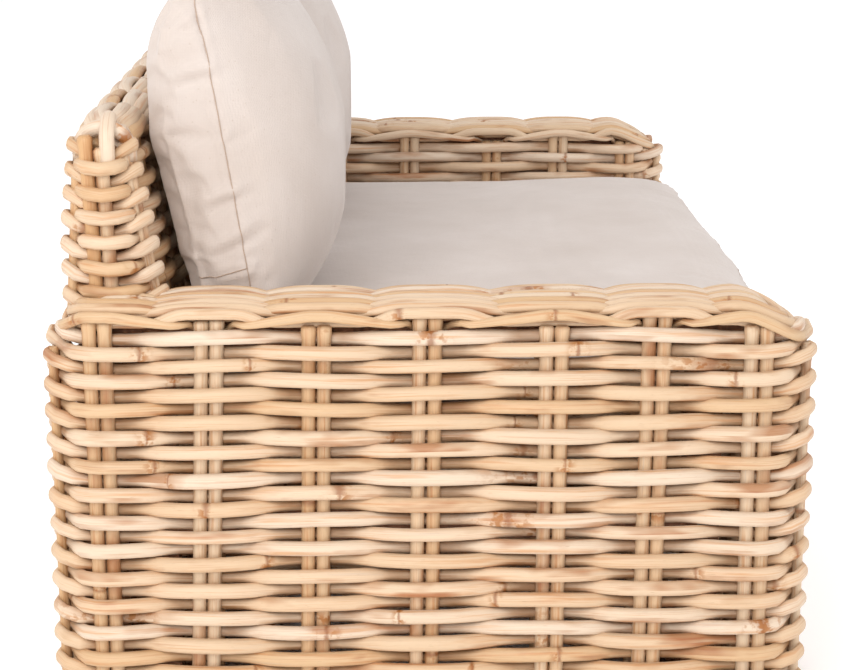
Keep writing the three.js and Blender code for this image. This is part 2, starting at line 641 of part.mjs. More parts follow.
for (const [label, x] of [["left", -BACK_POST_X], ["middle", 0], ["right", BACK_POST_X]]) {
  place(sofa, `${label}_back_post`, backPost(x), hardwood);
  place(sofa, `${label}_back_glide`, glide(x, backPostGlideY), nylon);
}
place(
  sofa,
  "back_top_rail",
  block(
    [-(UPPER_BACK_HALF - WALL - FIT), UPPER_BACK_HALF - WALL - FIT],
    [BACK_CAVITY_REAR_Y - FIT - BACK_RAIL_THICKNESS, BACK_CAVITY_REAR_Y - FIT],
    [backRailBase, BACK_WEAVE_TOP],
  ),
  hardwood,
);

// The seat frame between the arms.
const railHalf = POST_INNER_X - FIT;
const boltedRail = (y, rangeY) =>
  cut(block([-railHalf, railHalf], rangeY, SEAT_RAIL), [-1, 1].map((side) => boltHole(side, y, BOLT_Z)));
place(sofa, "seat_front_rail", boltedRail(FRONT_POST_Y, FRONT_RAIL_Y), hardwood);
place(sofa, "seat_rear_rail", boltedRail(REAR_POST_Y, REAR_RAIL_Y), hardwood);
place(sofa, "front_bottom_rail", block([-railHalf, railHalf], FRONT_RAIL_Y, BOTTOM_RAIL), hardwood);
place(sofa, "rear_bottom_rail", block([-railHalf, railHalf], REAR_RAIL_Y, BOTTOM_RAIL), hardwood);
const insideRailsY = [FRONT_RAIL_Y[1] + FIT, REAR_RAIL_Y[0] - FIT];
place(sofa, "seat_centre_beam", block([-BAR / 2, BAR / 2], insideRailsY, SEAT_RAIL), hardwood);
for (const [label, side] of [["left", -1], ["right", 1]]) {
  const x = [side * BAY_HALF, side * (BAY_HALF - LEDGER_WIDTH)].sort((a, b) => a - b);
  place(sofa, `${label}_seat_ledger`, block(x, insideRailsY, SEAT_RAIL), hardwood);
}
const centreLeg = block(
  [-BAR / 2, BAR / 2],
  [CENTRE_LEG_Y - BAR / 2, CENTRE_LEG_Y + BAR / 2],
  [POST_BASE, RAIL_BASE - FIT],
);
place(sofa, "centre_leg", cut(centreLeg, [glideHole(0, CENTRE_LEG_Y)]), hardwood);
place(sofa, "centre_glide", glide(0, CENTRE_LEG_Y), nylon);

const slatFront = FRONT_RAIL_Y[0];
const slatRear = frontMidAt(DECK_HEIGHT) - POLE_WIDTH / 2 - FIT - SLAT_WIDTH;
for (let i = 0; i < SLAT_COUNT; i++) {
  const y = slatFront + ((slatRear - slatFront) * i) / (SLAT_COUNT - 1);
  place(
    sofa,
    `seat_slat_${i + 1}`,
    block([-BAY_HALF + FIT, BAY_HALF - FIT], [y, y + SLAT_WIDTH], [RAIL_TOP + FIT, DECK_HEIGHT]),
    hardwood,
  );
}

// The apron under the front of the seat.
const apronMid = APRON_FRONT_Y + WALL_OUT;
const apronTop = RAIL_TOP;
const apronStations = BAY_PAIR_X.map((x) => pair(x, apronMid, true));
function apronWeave() {
  const rows = Math.round((apronTop - WEAVE_BASE) / ROW_PITCH);
  const outline = (z, row) => rowBetweenArms(apronMid + WALL_IN, APRON_FRONT_Y, row).map(atHeight(z));
  return cut(
    skin(rowLoops(WEAVE_BASE, apronTop, rows, outline), true),
    apronStations.map((s) => stakeSlot(s, WEAVE_BASE, apronTop, upright)),
  );
}
place(sofa, "apron_weave", apronWeave(), weaveCane);
place(sofa, "apron_stakes", ladder(apronStations, apronMid, FLOOR_POLE, apronTop, upright), stakeCane);
const APRON_ROLL_STEPS = 8;
function apronBorder() {
  const half = WALL / 2;
  const rise = DECK_HEIGHT - apronTop - FIT;
  const profile = new THREE.Shape(
    Array.from({ length: APRON_ROLL_STEPS + 1 }, (_, i) => {
      const angle = (i / APRON_ROLL_STEPS) * Math.PI;
      return new THREE.Vector2(half * Math.cos(angle), rise * Math.sin(angle));
    }),
  );
  const shape = new THREE.ExtrudeGeometry(profile, { depth: 2 * BAY_HALF, bevelEnabled: false });
  shape.rotateX(Math.PI / 2);
  shape.rotateZ(Math.PI / 2);
  shape.translate(-BAY_HALF, APRON_FRONT_Y + half, apronTop + FIT);
  return solidOf(shape);
}
place(sofa, "apron_border", apronBorder(), borderCane);
const apronTieY = [apronMid + WALL_IN + FIT, FRONT_RAIL_Y[0] - FIT];
for (const [label, x] of [["left", -BACK_POST_X], ["right", BACK_POST_X]])
  place(
    sofa,
    `${label}_apron_block`,
    block([x - BAR / 2, x + BAR / 2], apronTieY, SEAT_RAIL),
    hardwood,
  );

// An outline for cushions whose sides are drawn in between the corners.
function cushionOutline(halfU, halfV, radius) {
  return roundedRectangle(halfU, halfV, radius, CORNER_STEPS, CUSHION_STEPS, CUSHION_STEPS).map((p) => {
    const u = p.x / (halfU || 1);
    const v = p.y / (halfV || 1);
    const waistU = Math.max(0, 1 - v * v);
    const waistV = Math.max(0, 1 - u * u);
    return new THREE.Vector2(p.x - CUSHION_WAIST * waistU * u ** 3, p.y - CUSHION_WAIST * waistV * v ** 3);
  });
}

const edgeLevels = (edge) => EDGE_SHARES.map(([rise, inset]) => [rise * edge, inset * edge]);
const crownLevels = (base, crown, half, shares) =>
  shares.map(([rise, inset]) => [base + rise * crown, inset * half]);

// The seat cushion: flat under, upright drawn-in sides, and a low crown.
function seatCushion() {
  const front = -DEPTH / 2 - SEAT_CUSHION_OVERHANG;
  const rear = backFrontAt(DECK_HEIGHT) - FIT;
  const halfX = ARM_INNER_X - CUSHION_SIDE_GAP;
  const halfY = (rear - front) / 2;
  const edge = SEAT_CUSHION_CORNER / 2;
  const levels = [
    ...edgeLevels(edge),
    ...edgeLevels(edge).reverse().map(([rise, inset]) => [SEAT_CUSHION_THICKNESS - rise, inset]),
    ...crownLevels(SEAT_CUSHION_THICKNESS, SEAT_CUSHION_CROWN, halfY, SEAT_CROWN_SHARES),
  ];
  return skin(
    levels.map(([rise, inset]) =>
      cushionOutline(halfX - inset, halfY - inset, Math.max(SEAT_CUSHION_CORNER - inset, edge)).map(
        (p) => new THREE.Vector3(p.x, p.y + (front + rear) / 2, CUSHION_BASE + rise),
      ),
    ),
  );
}

// A back cushion: its rear face lies on the raked back, and its front face is full.
const backCushionBase = CUSHION_BASE + SEAT_CUSHION_THICKNESS + SEAT_CUSHION_CROWN + FIT;
function backCushion(side) {
  const halfX = (ARM_INNER_X - 2 * CUSHION_SIDE_GAP) / 2;
  const halfZ = BACK_CUSHION_HEIGHT / 2;
  const edge = BACK_CUSHION_CORNER / 2;
  const levels = [
    ...edgeLevels(edge),
    [BACK_CUSHION_BOXING, 0],
    ...crownLevels(BACK_CUSHION_BOXING, BACK_CUSHION_CROWN, halfZ, BACK_CROWN_SHARES),
  ];
  return skin(
    levels.map(([forward, inset]) =>
      cushionOutline(halfX - inset, halfZ - inset, Math.max(BACK_CUSHION_CORNER - inset, edge)).map((p) => {
        const z = backCushionBase + halfZ + p.y;
        return new THREE.Vector3(
          side * (halfX + CUSHION_SIDE_GAP) + p.x,
          backFrontAt(Math.min(z, BACK_WEAVE_TOP)) - forward - FIT,
          z,
        );
      }),
    ),
  );
}
place(sofa, "seat_cushion", seatCushion(), cotton);
place(sofa, "left_back_cushion", backCushion(-1), cotton);
place(sofa, "right_back_cushion", backCushion(1), cotton);

sofa.position.y = -new THREE.Box3().setFromObject(sofa).getCenter(new THREE.Vector3()).y;

export default sofa;
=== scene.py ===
# Garden sofa of woven rattan cane with loose cushions. Metres, in the row frame.
import math

import bpy
import numpy as np
from mathutils import Matrix, Vector


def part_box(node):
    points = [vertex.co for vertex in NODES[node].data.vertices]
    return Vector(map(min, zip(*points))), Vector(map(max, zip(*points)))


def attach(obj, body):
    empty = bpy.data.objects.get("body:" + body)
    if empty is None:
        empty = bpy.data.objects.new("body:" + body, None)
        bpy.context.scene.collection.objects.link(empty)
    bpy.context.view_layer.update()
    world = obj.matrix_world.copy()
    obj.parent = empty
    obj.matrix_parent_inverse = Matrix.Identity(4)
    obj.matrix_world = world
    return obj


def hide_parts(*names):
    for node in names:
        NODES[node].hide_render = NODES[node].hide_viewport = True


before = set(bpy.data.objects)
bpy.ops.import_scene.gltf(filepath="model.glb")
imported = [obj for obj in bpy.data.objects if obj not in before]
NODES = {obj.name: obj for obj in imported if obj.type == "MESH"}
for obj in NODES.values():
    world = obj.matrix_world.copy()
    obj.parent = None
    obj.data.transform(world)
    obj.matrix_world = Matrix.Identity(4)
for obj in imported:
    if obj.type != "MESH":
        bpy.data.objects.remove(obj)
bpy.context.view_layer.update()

MM = 0.001

# Materials


def linear(hex_colour):
    """An sRGB hex colour as linear RGBA."""
    channels = [int(hex_colour[i:i + 2], 16) / 255 for i in (1, 3, 5)]
    return tuple(c / 12.92 if c <= 0.04045 else ((c + 0.055) / 1.055) ** 2.4 for c in channels) + (1.0,)


def add_node(tree, kind, settings=(), inputs=(), links=(), stops=()):
    """A node with its properties, its input values, its links from other nodes' outputs and, on a
    colour ramp, its stops as (position, hex colour)."""
    node = tree.nodes.new(kind)
    for name, value in dict(settings).items():
        setattr(node, name, value)
    for key, value in dict(inputs).items():
        node.inputs[key].default_value = value
    for key, (source, output) in dict(links).items():
        tree.links.new(source.outputs[output], node.inputs[key])
    if stops:
        elements = node.color_ramp.elements
        while len(elements) < len(stops):
            elements.new(0.5)
        for element, (position, colour) in zip(elements, stops):
            element.position = position
            element.color = linear(colour)
    return node


def blank_material(name):
    material = bpy.data.materials.new(name)
    material.use_nodes = True
    tree = material.node_tree
    tree.nodes.clear()
    shader = add_node(tree, "ShaderNodeBsdfPrincipled")
    add_node(tree, "ShaderNodeOutputMaterial", links={"Surface": (shader, "BSDF")})
    return material, tree, shader


def cane_material(name, pale, warm, grey, roughness):
    """Peeled rattan cane, sanded and clear-sealed: pale skin with tan streaks along the fibre, a brown
    ring at each node of the vine and dark specks where the skin was cut; a soft gloss from the sealer.
    UV runs along the cane in metres and once round it; the tone attribute is one value per cane, and
    press is 1 where it is bent in."""
    material, tree, shader = blank_material(name)
    uv = add_node(tree, "ShaderNodeUVMap", {"uv_map": "cane"})
    tone = add_node(tree, "ShaderNodeAttribute", {"attribute_name": "tone"})
    apart = add_node(tree, "ShaderNodeSeparateXYZ", links={"Vector": (uv, "UV")})
    # Each cane reads its own stretch of the patterns.
    own = add_node(tree, "ShaderNodeMath", {"operation": "MULTIPLY_ADD"}, {1: 37.0},
                   {0: (tone, "Fac"), 2: (apart, "X")})
    along = add_node(tree, "ShaderNodeCombineXYZ", links={"X": (own, "Value"), "Y": (apart, "Y")})

    def pattern(scale, detail, rough):
        """Clouds over the skin, drawn out along the cane."""
        space = add_node(tree, "ShaderNodeMapping", inputs={"Scale": scale},
                         links={"Vector": (along, "Vector")})
        return add_node(tree, "ShaderNodeTexNoise", {"noise_dimensions": "2D"},
                        {"Scale": 1.0, "Detail": detail, "Roughness": rough},
                        {"Vector": (space, "Vector")})

    # Streaks about 180 mm long and 5 mm wide.
    streaks = pattern((5.5, 8.0, 1.0), 4.0, 0.6)
    # Blotches 150 mm long, where the skin is darker or greyer.
    blotches = pattern((6.5, 0.9, 1.0), 3.0, 0.55)
    # Lines along the skin, 1.5 mm wide.
    lines = pattern((8.0, 30.0, 1.0), 2.0, 0.55)
    # Fibres about 0.5 mm wide.
    fibres = pattern((45.0, 60.0, 1.0), 2.0, 0.7)
    # A node of the vine about every 520 mm, at uneven steps.
    drift = add_node(tree, "ShaderNodeTexNoise", {"noise_dimensions": "1D"},
                     {"Scale": 2.1, "Detail": 0.0}, {"W": (own, "Value")})
    step = add_node(tree, "ShaderNodeMath", {"operation": "MULTIPLY_ADD"}, {1: 1.9},
                    {0: (own, "Value"), 2: (drift, "Fac")})
    saw = add_node(tree, "ShaderNodeMath", {"operation": "PINGPONG"}, {1: 0.5}, {0: (step, "Value")})
    # Stains of uneven outline, about 15 mm long and a third of the way round.
    stains = pattern((62.0, 3.0, 1.0), 3.0, 0.6)
    mottle = add_node(tree, "ShaderNodeMapRange", {"interpolation_type": "SMOOTHSTEP"},
                      {"From Min": 0.48, "From Max": 0.62}, {"Value": (stains, "Fac")})
    # A ring is ragged, thin where the skin is pale and up to 10 mm wide where it is dark.
    strong = add_node(tree, "ShaderNodeMapRange", inputs={"From Min": 0.35, "From Max": 0.68,
                      "To Min": 0.0, "To Max": 1.0}, links={"Value": (blotches, "Fac")})
    ragged = add_node(tree, "ShaderNodeMath", {"operation": "MULTIPLY_ADD"}, {1: 0.022},
                      {0: (stains, "Fac"), 2: (saw, "Value")})
    width = add_node(tree, "ShaderNodeMapRange", inputs={"From Min": 0.3, "From Max": 1.0,
                     "To Min": 0.017, "To Max": 0.029}, links={"Value": (strong, "Result")})
    ring = add_node(tree, "ShaderNodeMapRange", {"interpolation_type": "SMOOTHSTEP"},
                    {"From Min": 0.009, "To Min": 1.0, "To Max": 0.0},
                    {"Value": (ragged, "Value"), "From Max": (width, "Result")})
    halo = add_node(tree, "ShaderNodeMapRange", {"interpolation_type": "SMOOTHSTEP"},
                    {"From Min": 0.0, "From Max": 0.045, "To Min": 1.0, "To Max": 0.0},
                    {"Value": (saw, "Value")})
    skin = add_node(tree, "ShaderNodeValToRGB", links={"Fac": (streaks, "Fac")},
                    stops=[(0.28, warm), (0.46, pale), (0.64, pale), (0.80, grey)])
    shade = add_node(tree, "ShaderNodeValToRGB", links={"Fac": (tone, "Fac")},
                     stops=[(0.0, "#E8D0B0"), (0.25, "#F3E7D8"), (0.5, "#F8F4F0"), (0.8, "#F3E4D2"),
                            (1.0, "#E4C8A4")])
    toned = add_node(tree, "ShaderNodeMix", {"data_type": "RGBA", "blend_type": "MULTIPLY"}, {0: 1.0},
                     {6: (skin, "Color"), 7: (shade, "Color")})
    lined = add_node(tree, "ShaderNodeValToRGB", links={"Fac": (lines, "Fac")},
                     stops=[(0.28, "#D08F55"), (0.42, "#FFFFFF"), (0.62, "#FFFFFF"), (0.78, "#E2BC8E")])
    marked = add_node(tree, "ShaderNodeMix", {"data_type": "RGBA", "blend_type": "MULTIPLY"}, {0: 0.32},
                      {6: (toned, 2), 7: (lined, "Color")})
    patch = add_node(tree, "ShaderNodeValToRGB", links={"Fac": (blotches, "Fac")},
                     stops=[(0.28, "#C08A52"), (0.43, "#FFFFFF"), (0.66, "#FFFFFF"), (0.82, "#CFAE86")])
    patched = add_node(tree, "ShaderNodeMix", {"data_type": "RGBA", "blend_type": "MULTIPLY"}, {0: 0.75},
                       {6: (marked, 2), 7: (patch, "Color")})
    stained_amount = add_node(tree, "ShaderNodeMath", {"operation": "MULTIPLY"},
                              links={0: (halo, "Result"), 1: (mottle, "Result")})
    stained = add_node(tree, "ShaderNodeMix", {"data_type": "RGBA", "blend_type": "MIX"},
                       inputs={7: linear("#A66C36")},
                       links={0: (stained_amount, "Value"), 6: (patched, 2)})
    ring_amount = add_node(tree, "ShaderNodeMath", {"operation": "MULTIPLY"}, {1: 0.72},
                           {0: (ring, "Result")})
    ringed = add_node(tree, "ShaderNodeMix", {"data_type": "RGBA", "blend_type": "MIX"},
                      inputs={7: linear("#8A5128")},
                      links={0: (ring_amount, "Value"), 6: (stained, 2)})
    speck = add_node(tree, "ShaderNodeMapRange", inputs={"From Min": 0.70, "From Max": 0.78},
                     links={"Value": (fibres, "Fac")})
    speck_amount = add_node(tree, "ShaderNodeMath", {"operation": "MULTIPLY"}, {1: 0.45},
                            {0: (speck, "Result")})
    specked = add_node(tree, "ShaderNodeMix", {"data_type": "RGBA", "blend_type": "MIX"},
                       inputs={7: linear("#8A6038")},
                       links={0: (speck_amount, "Value"), 6: (ringed, 2)})
    # Where a cane is bent in beside a stake, into the recess behind it, its skin is painted darker brown in
    # mottled patches: partly stain, partly painted shade.
    press = add_node(tree, "ShaderNodeAttribute", {"attribute_name": "press"})
    dive_stain_and_shade = add_node(tree, "ShaderNodeMapRange", inputs={"From Min": 0.42, "From Max": 0.66, "To Max": 0.75},
                      links={"Value": (blotches, "Fac")})
    dive_stain_and_shade_amount = add_node(tree, "ShaderNodeMath", {"operation": "MULTIPLY"},
                             links={0: (press, "Fac"), 1: (dive_stain_and_shade, "Result")})
    dive_stained_and_shaded = add_node(tree, "ShaderNodeMix", {"data_type": "RGBA", "blend_type": "MIX"},
                       inputs={7: linear("#9A6B40")},
                       links={0: (dive_stain_and_shade_amount, "Value"), 6: (specked, 2)})
    tree.links.new(dive_stained_and_shaded.outputs[2], shader.inputs["Base Color"])
    bump = add_node(tree, "ShaderNodeBump", inputs={"Strength": 0.25, "Distance": 0.0006},
                    links={"Height": (fibres, "Fac")})
    ridge = add_node(tree, "ShaderNodeBump", inputs={"Strength": 0.6, "Distance": 0.0012},
                     links={"Height": (ring, "Result"), "Normal": (bump, "Normal")})
    tree.links.new(ridge.outputs["Normal"], shader.inputs["Normal"])
    worn = add_node(tree, "ShaderNodeMapRange", inputs={"From Min": 0.3, "From Max": 0.7,
                    "To Min": roughness - 0.08, "To Max": roughness + 0.14},
                    links={"Value": (streaks, "Fac")})
    tree.links.new(worn.outputs["Result"], shader.inputs["Roughness"])
    shader.inputs["IOR"].default_value = 1.5
    shader.inputs["Coat Weight"].default_value = 0.08
    shader.inputs["Coat Roughness"].default_value = 0.35
    return material


def hardwood_material():
    """Planed and oiled meranti: brown-red, with long grain and open pores, no shine."""
    material, tree, shader = blank_material("oiled_meranti")
    where = add_node(tree, "ShaderNodeTexCoord")
    space = add_node(tree, "ShaderNodeMapping", inputs={"Scale": (4.0, 60.0, 60.0)},
                     links={"Vector": (where, "Object")})
    grain = add_node(tree, "ShaderNodeTexNoise", inputs={"Scale": 2.0, "Detail": 6.0, "Distortion": 0.6},
                     links={"Vector": (space, "Vector")})
    pores = add_node(tree, "ShaderNodeTexNoise", inputs={"Scale": 9.0, "Detail": 2.0},
                     links={"Vector": (space, "Vector")})
    colour = add_node(tree, "ShaderNodeValToRGB", links={"Fac": (grain, "Fac")},
                      stops=[(0.3, "#5E3A24"), (0.55, "#8A5A3A"), (0.75, "#A37250")])
    tree.links.new(colour.outputs["Color"], shader.inputs["Base Color"])
    bump = add_node(tree, "ShaderNodeBump", inputs={"Strength": 0.3, "Distance": 0.0004},
                    links={"Height": (pores, "Fac")})
    tree.links.new(bump.outputs["Normal"], shader.inputs["Normal"])
    shader.inputs["Roughness"].default_value = 0.6
    return material


def cotton_material():
    """Plain-woven natural cotton canvas, washed: warm off-white with slubs and faint flecks of husk, and
    the soft rim light of short fibres. The threads are 0.9 mm apart, drawn at 1.8 mm so that they show."""
    material, tree, shader = blank_material("washed_cotton_canvas")
    where = add_node(tree, "ShaderNodeTexCoord")
    thread = 1.8 * MM
    waves = []
    for direction in ("X", "Y", "Z"):
        waves.append(add_node(
            tree, "ShaderNodeTexWave", {"wave_type": "BANDS", "bands_direction": direction},
            {"Scale": math.pi / 10 / thread, "Distortion": 2.6, "Detail": 2.0, "Detail Scale": 0.6},
            {"Vector": (where, "Object")}))
    crossed = add_node(tree, "ShaderNodeMath", {"operation": "ADD"},
                       links={0: (waves[0], "Fac"), 1: (waves[1], "Fac")})
    weave = add_node(tree, "ShaderNodeMath", {"operation": "ADD"},
                     links={0: (crossed, "Value"), 1: (waves[2], "Fac")})
    clouds = add_node(tree, "ShaderNodeTexNoise", inputs={"Scale": 7.0, "Detail": 4.0},
                      links={"Vector": (where, "Object")})
    flecks = add_node(tree, "ShaderNodeTexVoronoi", {"feature": "F1"}, {"Scale": 95.0, "Randomness": 1.0},
                      {"Vector": (where, "Object")})
    fleck = add_node(tree, "ShaderNodeMapRange", inputs={"From Min": 0.05, "From Max": 0.13,
                     "To Min": 0.22, "To Max": 0.0}, links={"Value": (flecks, "Distance")})
    tint = add_node(tree, "ShaderNodeValToRGB", links={"Fac": (clouds, "Fac")},
                    stops=[(0.3, "#C4B8B0"), (0.55, "#CABFB8"), (0.75, "#D0C6C0")])
    threads = add_node(tree, "ShaderNodeMapRange", inputs={"From Min": 0.6, "From Max": 2.4,
                       "To Min": 0.972, "To Max": 1.01}, links={"Value": (weave, "Value")})
    cloth = add_node(tree, "ShaderNodeVectorMath", {"operation": "SCALE"},
                     links={"Vector": (tint, "Color"), "Scale": (threads, "Result")})
    flecked = add_node(tree, "ShaderNodeMix", {"data_type": "RGBA", "blend_type": "MIX"},
                       inputs={7: linear("#A08A70")},
                       links={0: (fleck, "Result"), 6: (cloth, "Vector")})
    # Painted shade: the sewing thread of a seam is coloured darker, for the shadow between the two panels.
    seam = add_node(tree, "ShaderNodeAttribute", {"attribute_name": "seam"})
    seam_shaded = add_node(tree, "ShaderNodeMix", {"data_type": "RGBA", "blend_type": "MIX"},
                      inputs={7: linear("#B29C8B")},
                      links={0: (seam, "Fac"), 6: (flecked, 2)})
    tree.links.new(seam_shaded.outputs[2], shader.inputs["Base Color"])
    creases = add_node(tree, "ShaderNodeTexNoise", inputs={"Scale": 28.0, "Detail": 5.0, "Roughness": 0.6},
                       links={"Vector": (where, "Object")})
    soft = add_node(tree, "ShaderNodeBump", inputs={"Strength": 0.35, "Distance": 0.004},
                    links={"Height": (creases, "Fac")})
    bump = add_node(tree, "ShaderNodeBump", inputs={"Strength": 0.25, "Distance": 0.0004},
                    links={"Height": (weave, "Value"), "Normal": (soft, "Normal")})
    tree.links.new(bump.outputs["Normal"], shader.inputs["Normal"])
    shader.inputs["Roughness"].default_value = 0.92
    shader.inputs["Sheen Weight"].default_value = 0.25
    shader.inputs["Sheen Roughness"].default_value = 0.5
    return material


def nylon_material():
    """Injection-moulded nylon: dark, fine-grained and scuffed on the sole."""
    material, tree, shader = blank_material("moulded_nylon")
    where = add_node(tree, "ShaderNodeTexCoord")
    scuffs = add_node(tree, "ShaderNodeTexNoise", inputs={"Scale": 120.0, "Detail": 4.0},
                      links={"Vector": (where, "Object")})
    colour = add_node(tree, "ShaderNodeValToRGB", links={"Fac": (scuffs, "Fac")},
                      stops=[(0.4, "#2C2723"), (0.7, "#4A423B")])
    tree.links.new(colour.outputs["Color"], shader.inputs["Base Color"])
    shader.inputs["Roughness"].default_value = 0.5
    return material


def steel_material():
    """Zinc-plated steel: grey, faintly clouded crystals."""
    material, tree, shader = blank_material("zinc_plated_steel")
    where = add_node(tree, "ShaderNodeTexCoord")
    cloud = add_node(tree, "ShaderNodeTexNoise", inputs={"Scale": 300.0, "Detail": 3.0},
                     links={"Vector": (where, "Object")})
    rough = add_node(tree, "ShaderNodeMapRange", inputs={"To Min": 0.28, "To Max": 0.45},
                     links={"Value": (cloud, "Fac")})
    tree.links.new(rough.outputs["Result"], shader.inputs["Roughness"])
    shader.inputs["Base Color"].default_value = linear("#A9ADB0")
    shader.inputs["Metallic"].default_value = 1.0
    return material


WEAVE_CANE = cane_material("sealed_rattan_weave", "#DFD0BE", "#D3AD8A", "#D6CBC0", 0.5)
BORDER_CANE = cane_material("sealed_rattan_border", "#DED2C3", "#D5B394", "#D8CFC6", 0.48)
STAKE_CANE = cane_material("sealed_rattan_stake", "#DCC7AC", "#C89F77", "#D0C1AE", 0.52)
HARDWOOD = hardwood_material()
COTTON = cotton_material()
NYLON = nylon_material()
STEEL = steel_material()

# Canes

ROW_PITCH = 16.8 * MM  # height of one row of cane
CANE = 8.0 * MM  # radius of a weaving cane
STAKE = 8.2 * MM  # and of a stake
WALL_OUT = 22 * MM  # middle of the stakes to the crest of a row outside them
PAIR_HOLD = 9 * MM  # half of the length over which a row lies straight at a pair of stakes
SINGLE_HOLD = 2 * MM  # and at a single stake
POLE_HALF_WIDTH = 12 * MM  # of the pole that the stakes of a wall stand on
POLE_HALF_HEIGHT = 7 * MM
RING = 12  # sides of a cane
SIDES = 10  # of one that lies deeper


class Line:
    """A plan curve with its length, points and outward normals at distances along it."""

    def __init__(self, points, closed):
        points = np.array(points, float)
        if closed:
            points = np.vstack([points, points[:1]])
        steps = np.hypot(*np.diff(points, axis=0).T)
        self.closed = closed
        self.at = np.concatenate([[0], np.cumsum(steps)])
        self.points = points
        self.length = self.at[-1]

    def point(self, s):
        if self.closed:
            s = np.mod(s, self.length)
        return np.stack([np.interp(s, self.at, self.points[:, k]) for k in (0, 1)], -1)

    def normal(self, s):
        tangent = self.point(np.asarray(s) + 2 * MM) - self.point(np.asarray(s) - 2 * MM)
        if not self.closed:
            tangent = np.tile(self.points[-1] - self.points[0], (len(s), 1))
        tangent /= np.linalg.norm(tangent, axis=-1, keepdims=True)
        return np.stack([tangent[:, 1], -tangent[:, 0]], -1)

    def nearest(self, place):
        s = np.linspace(0, self.length, 4000)
        return s[np.argmin(np.linalg.norm(self.point(s) - np.array(place), axis=1))]


def rounded_line(half_x, half_y, corner, centre):
    """A rounded rectangle, counterclockwise from the middle of its +X side."""
    corner = max(min(corner, half_x - 0.1 * MM, half_y - 0.1 * MM), 0.5 * MM)
    points = [(half_x, 0.0)]
    for quarter, (sx, sy) in enumerate(((1, 1), (-1, 1), (-1, -1), (1, -1))):
        for i in range(13):
            angle = (quarter + i / 12) * math.pi / 2
            points.append((sx * (half_x - corner) + corner * math.cos(angle),
                           sy * (half_y - corner) + corner * math.sin(angle)))
    return Line([(x + centre[0], y + centre[1]) for x, y in points], True)


def smooth(t):
    t = np.clip(t, 0, 1)
    return t * t * (3 - 2 * t)


def wave_along(s, stations, length, closed, sign):
    """+1 where a cane passes outside a station and -1 inside; stations are (distance, half width)."""
    knots = [(at, half, sign * (-1) ** i) for i, (at, half) in enumerate(stations)]
    if closed:
        first, last = knots[0], knots[-1]
        knots = [(last[0] - length, last[1], last[2])] + knots + [(first[0] + length, first[1], first[2])]
    else:
        gap = knots[1][0] - knots[0][0]
        knots = ([(knots[0][0] - gap, knots[0][1], -knots[0][2])] + knots
                 + [(knots[-1][0] + gap, knots[-1][1], -knots[-1][2])])
    out = np.zeros_like(s)
    for (a, half_a, sign_a), (b, half_b, _) in zip(knots, knots[1:]):
        here = (s >= a) & (s <= b)
        t = np.clip((s[here] - a - half_a) / max(b - half_b - a - half_a, MM), 0, 1)
        out[here] = sign_a * np.cos(math.pi * t)
    return out


def nearest_station(stations, at):
    return min(range(len(stations)), key=lambda i: abs(stations[i][0] - at))


def samples_between(stations, length, closed, spacing):
    """Distances along a line, denser than spacing between each two stations."""
    marks = [at for at, _ in stations]
    marks = marks + [marks[0] + length] if closed else [0.0] + marks + [length]
    out = []
    for a, b in zip(marks, marks[1:]):
        count = max(3, round((b - a) / spacing))
        out.extend(a + (b - a) * np.arange(count) / count)
    if not closed:
        out.append(length)
    return np.array(out)


def new_piece(name, points, faces, smooth_faces, values):
    """An object of these faces, the first of them smooth, with one value per point for each attribute."""
    mesh = bpy.data.meshes.new(name)
    mesh.from_pydata(points.tolist(), [], faces)
    for key, value in values.items():
        mesh.attributes.new(key, "FLOAT", "POINT").data.foreach_set("value", value)
    mesh.polygons.foreach_set("use_smooth", np.arange(len(faces)) < smooth_faces)
    mesh.update()
    piece = bpy.data.objects.new(name, mesh)
    bpy.context.scene.collection.objects.link(piece)
    return piece


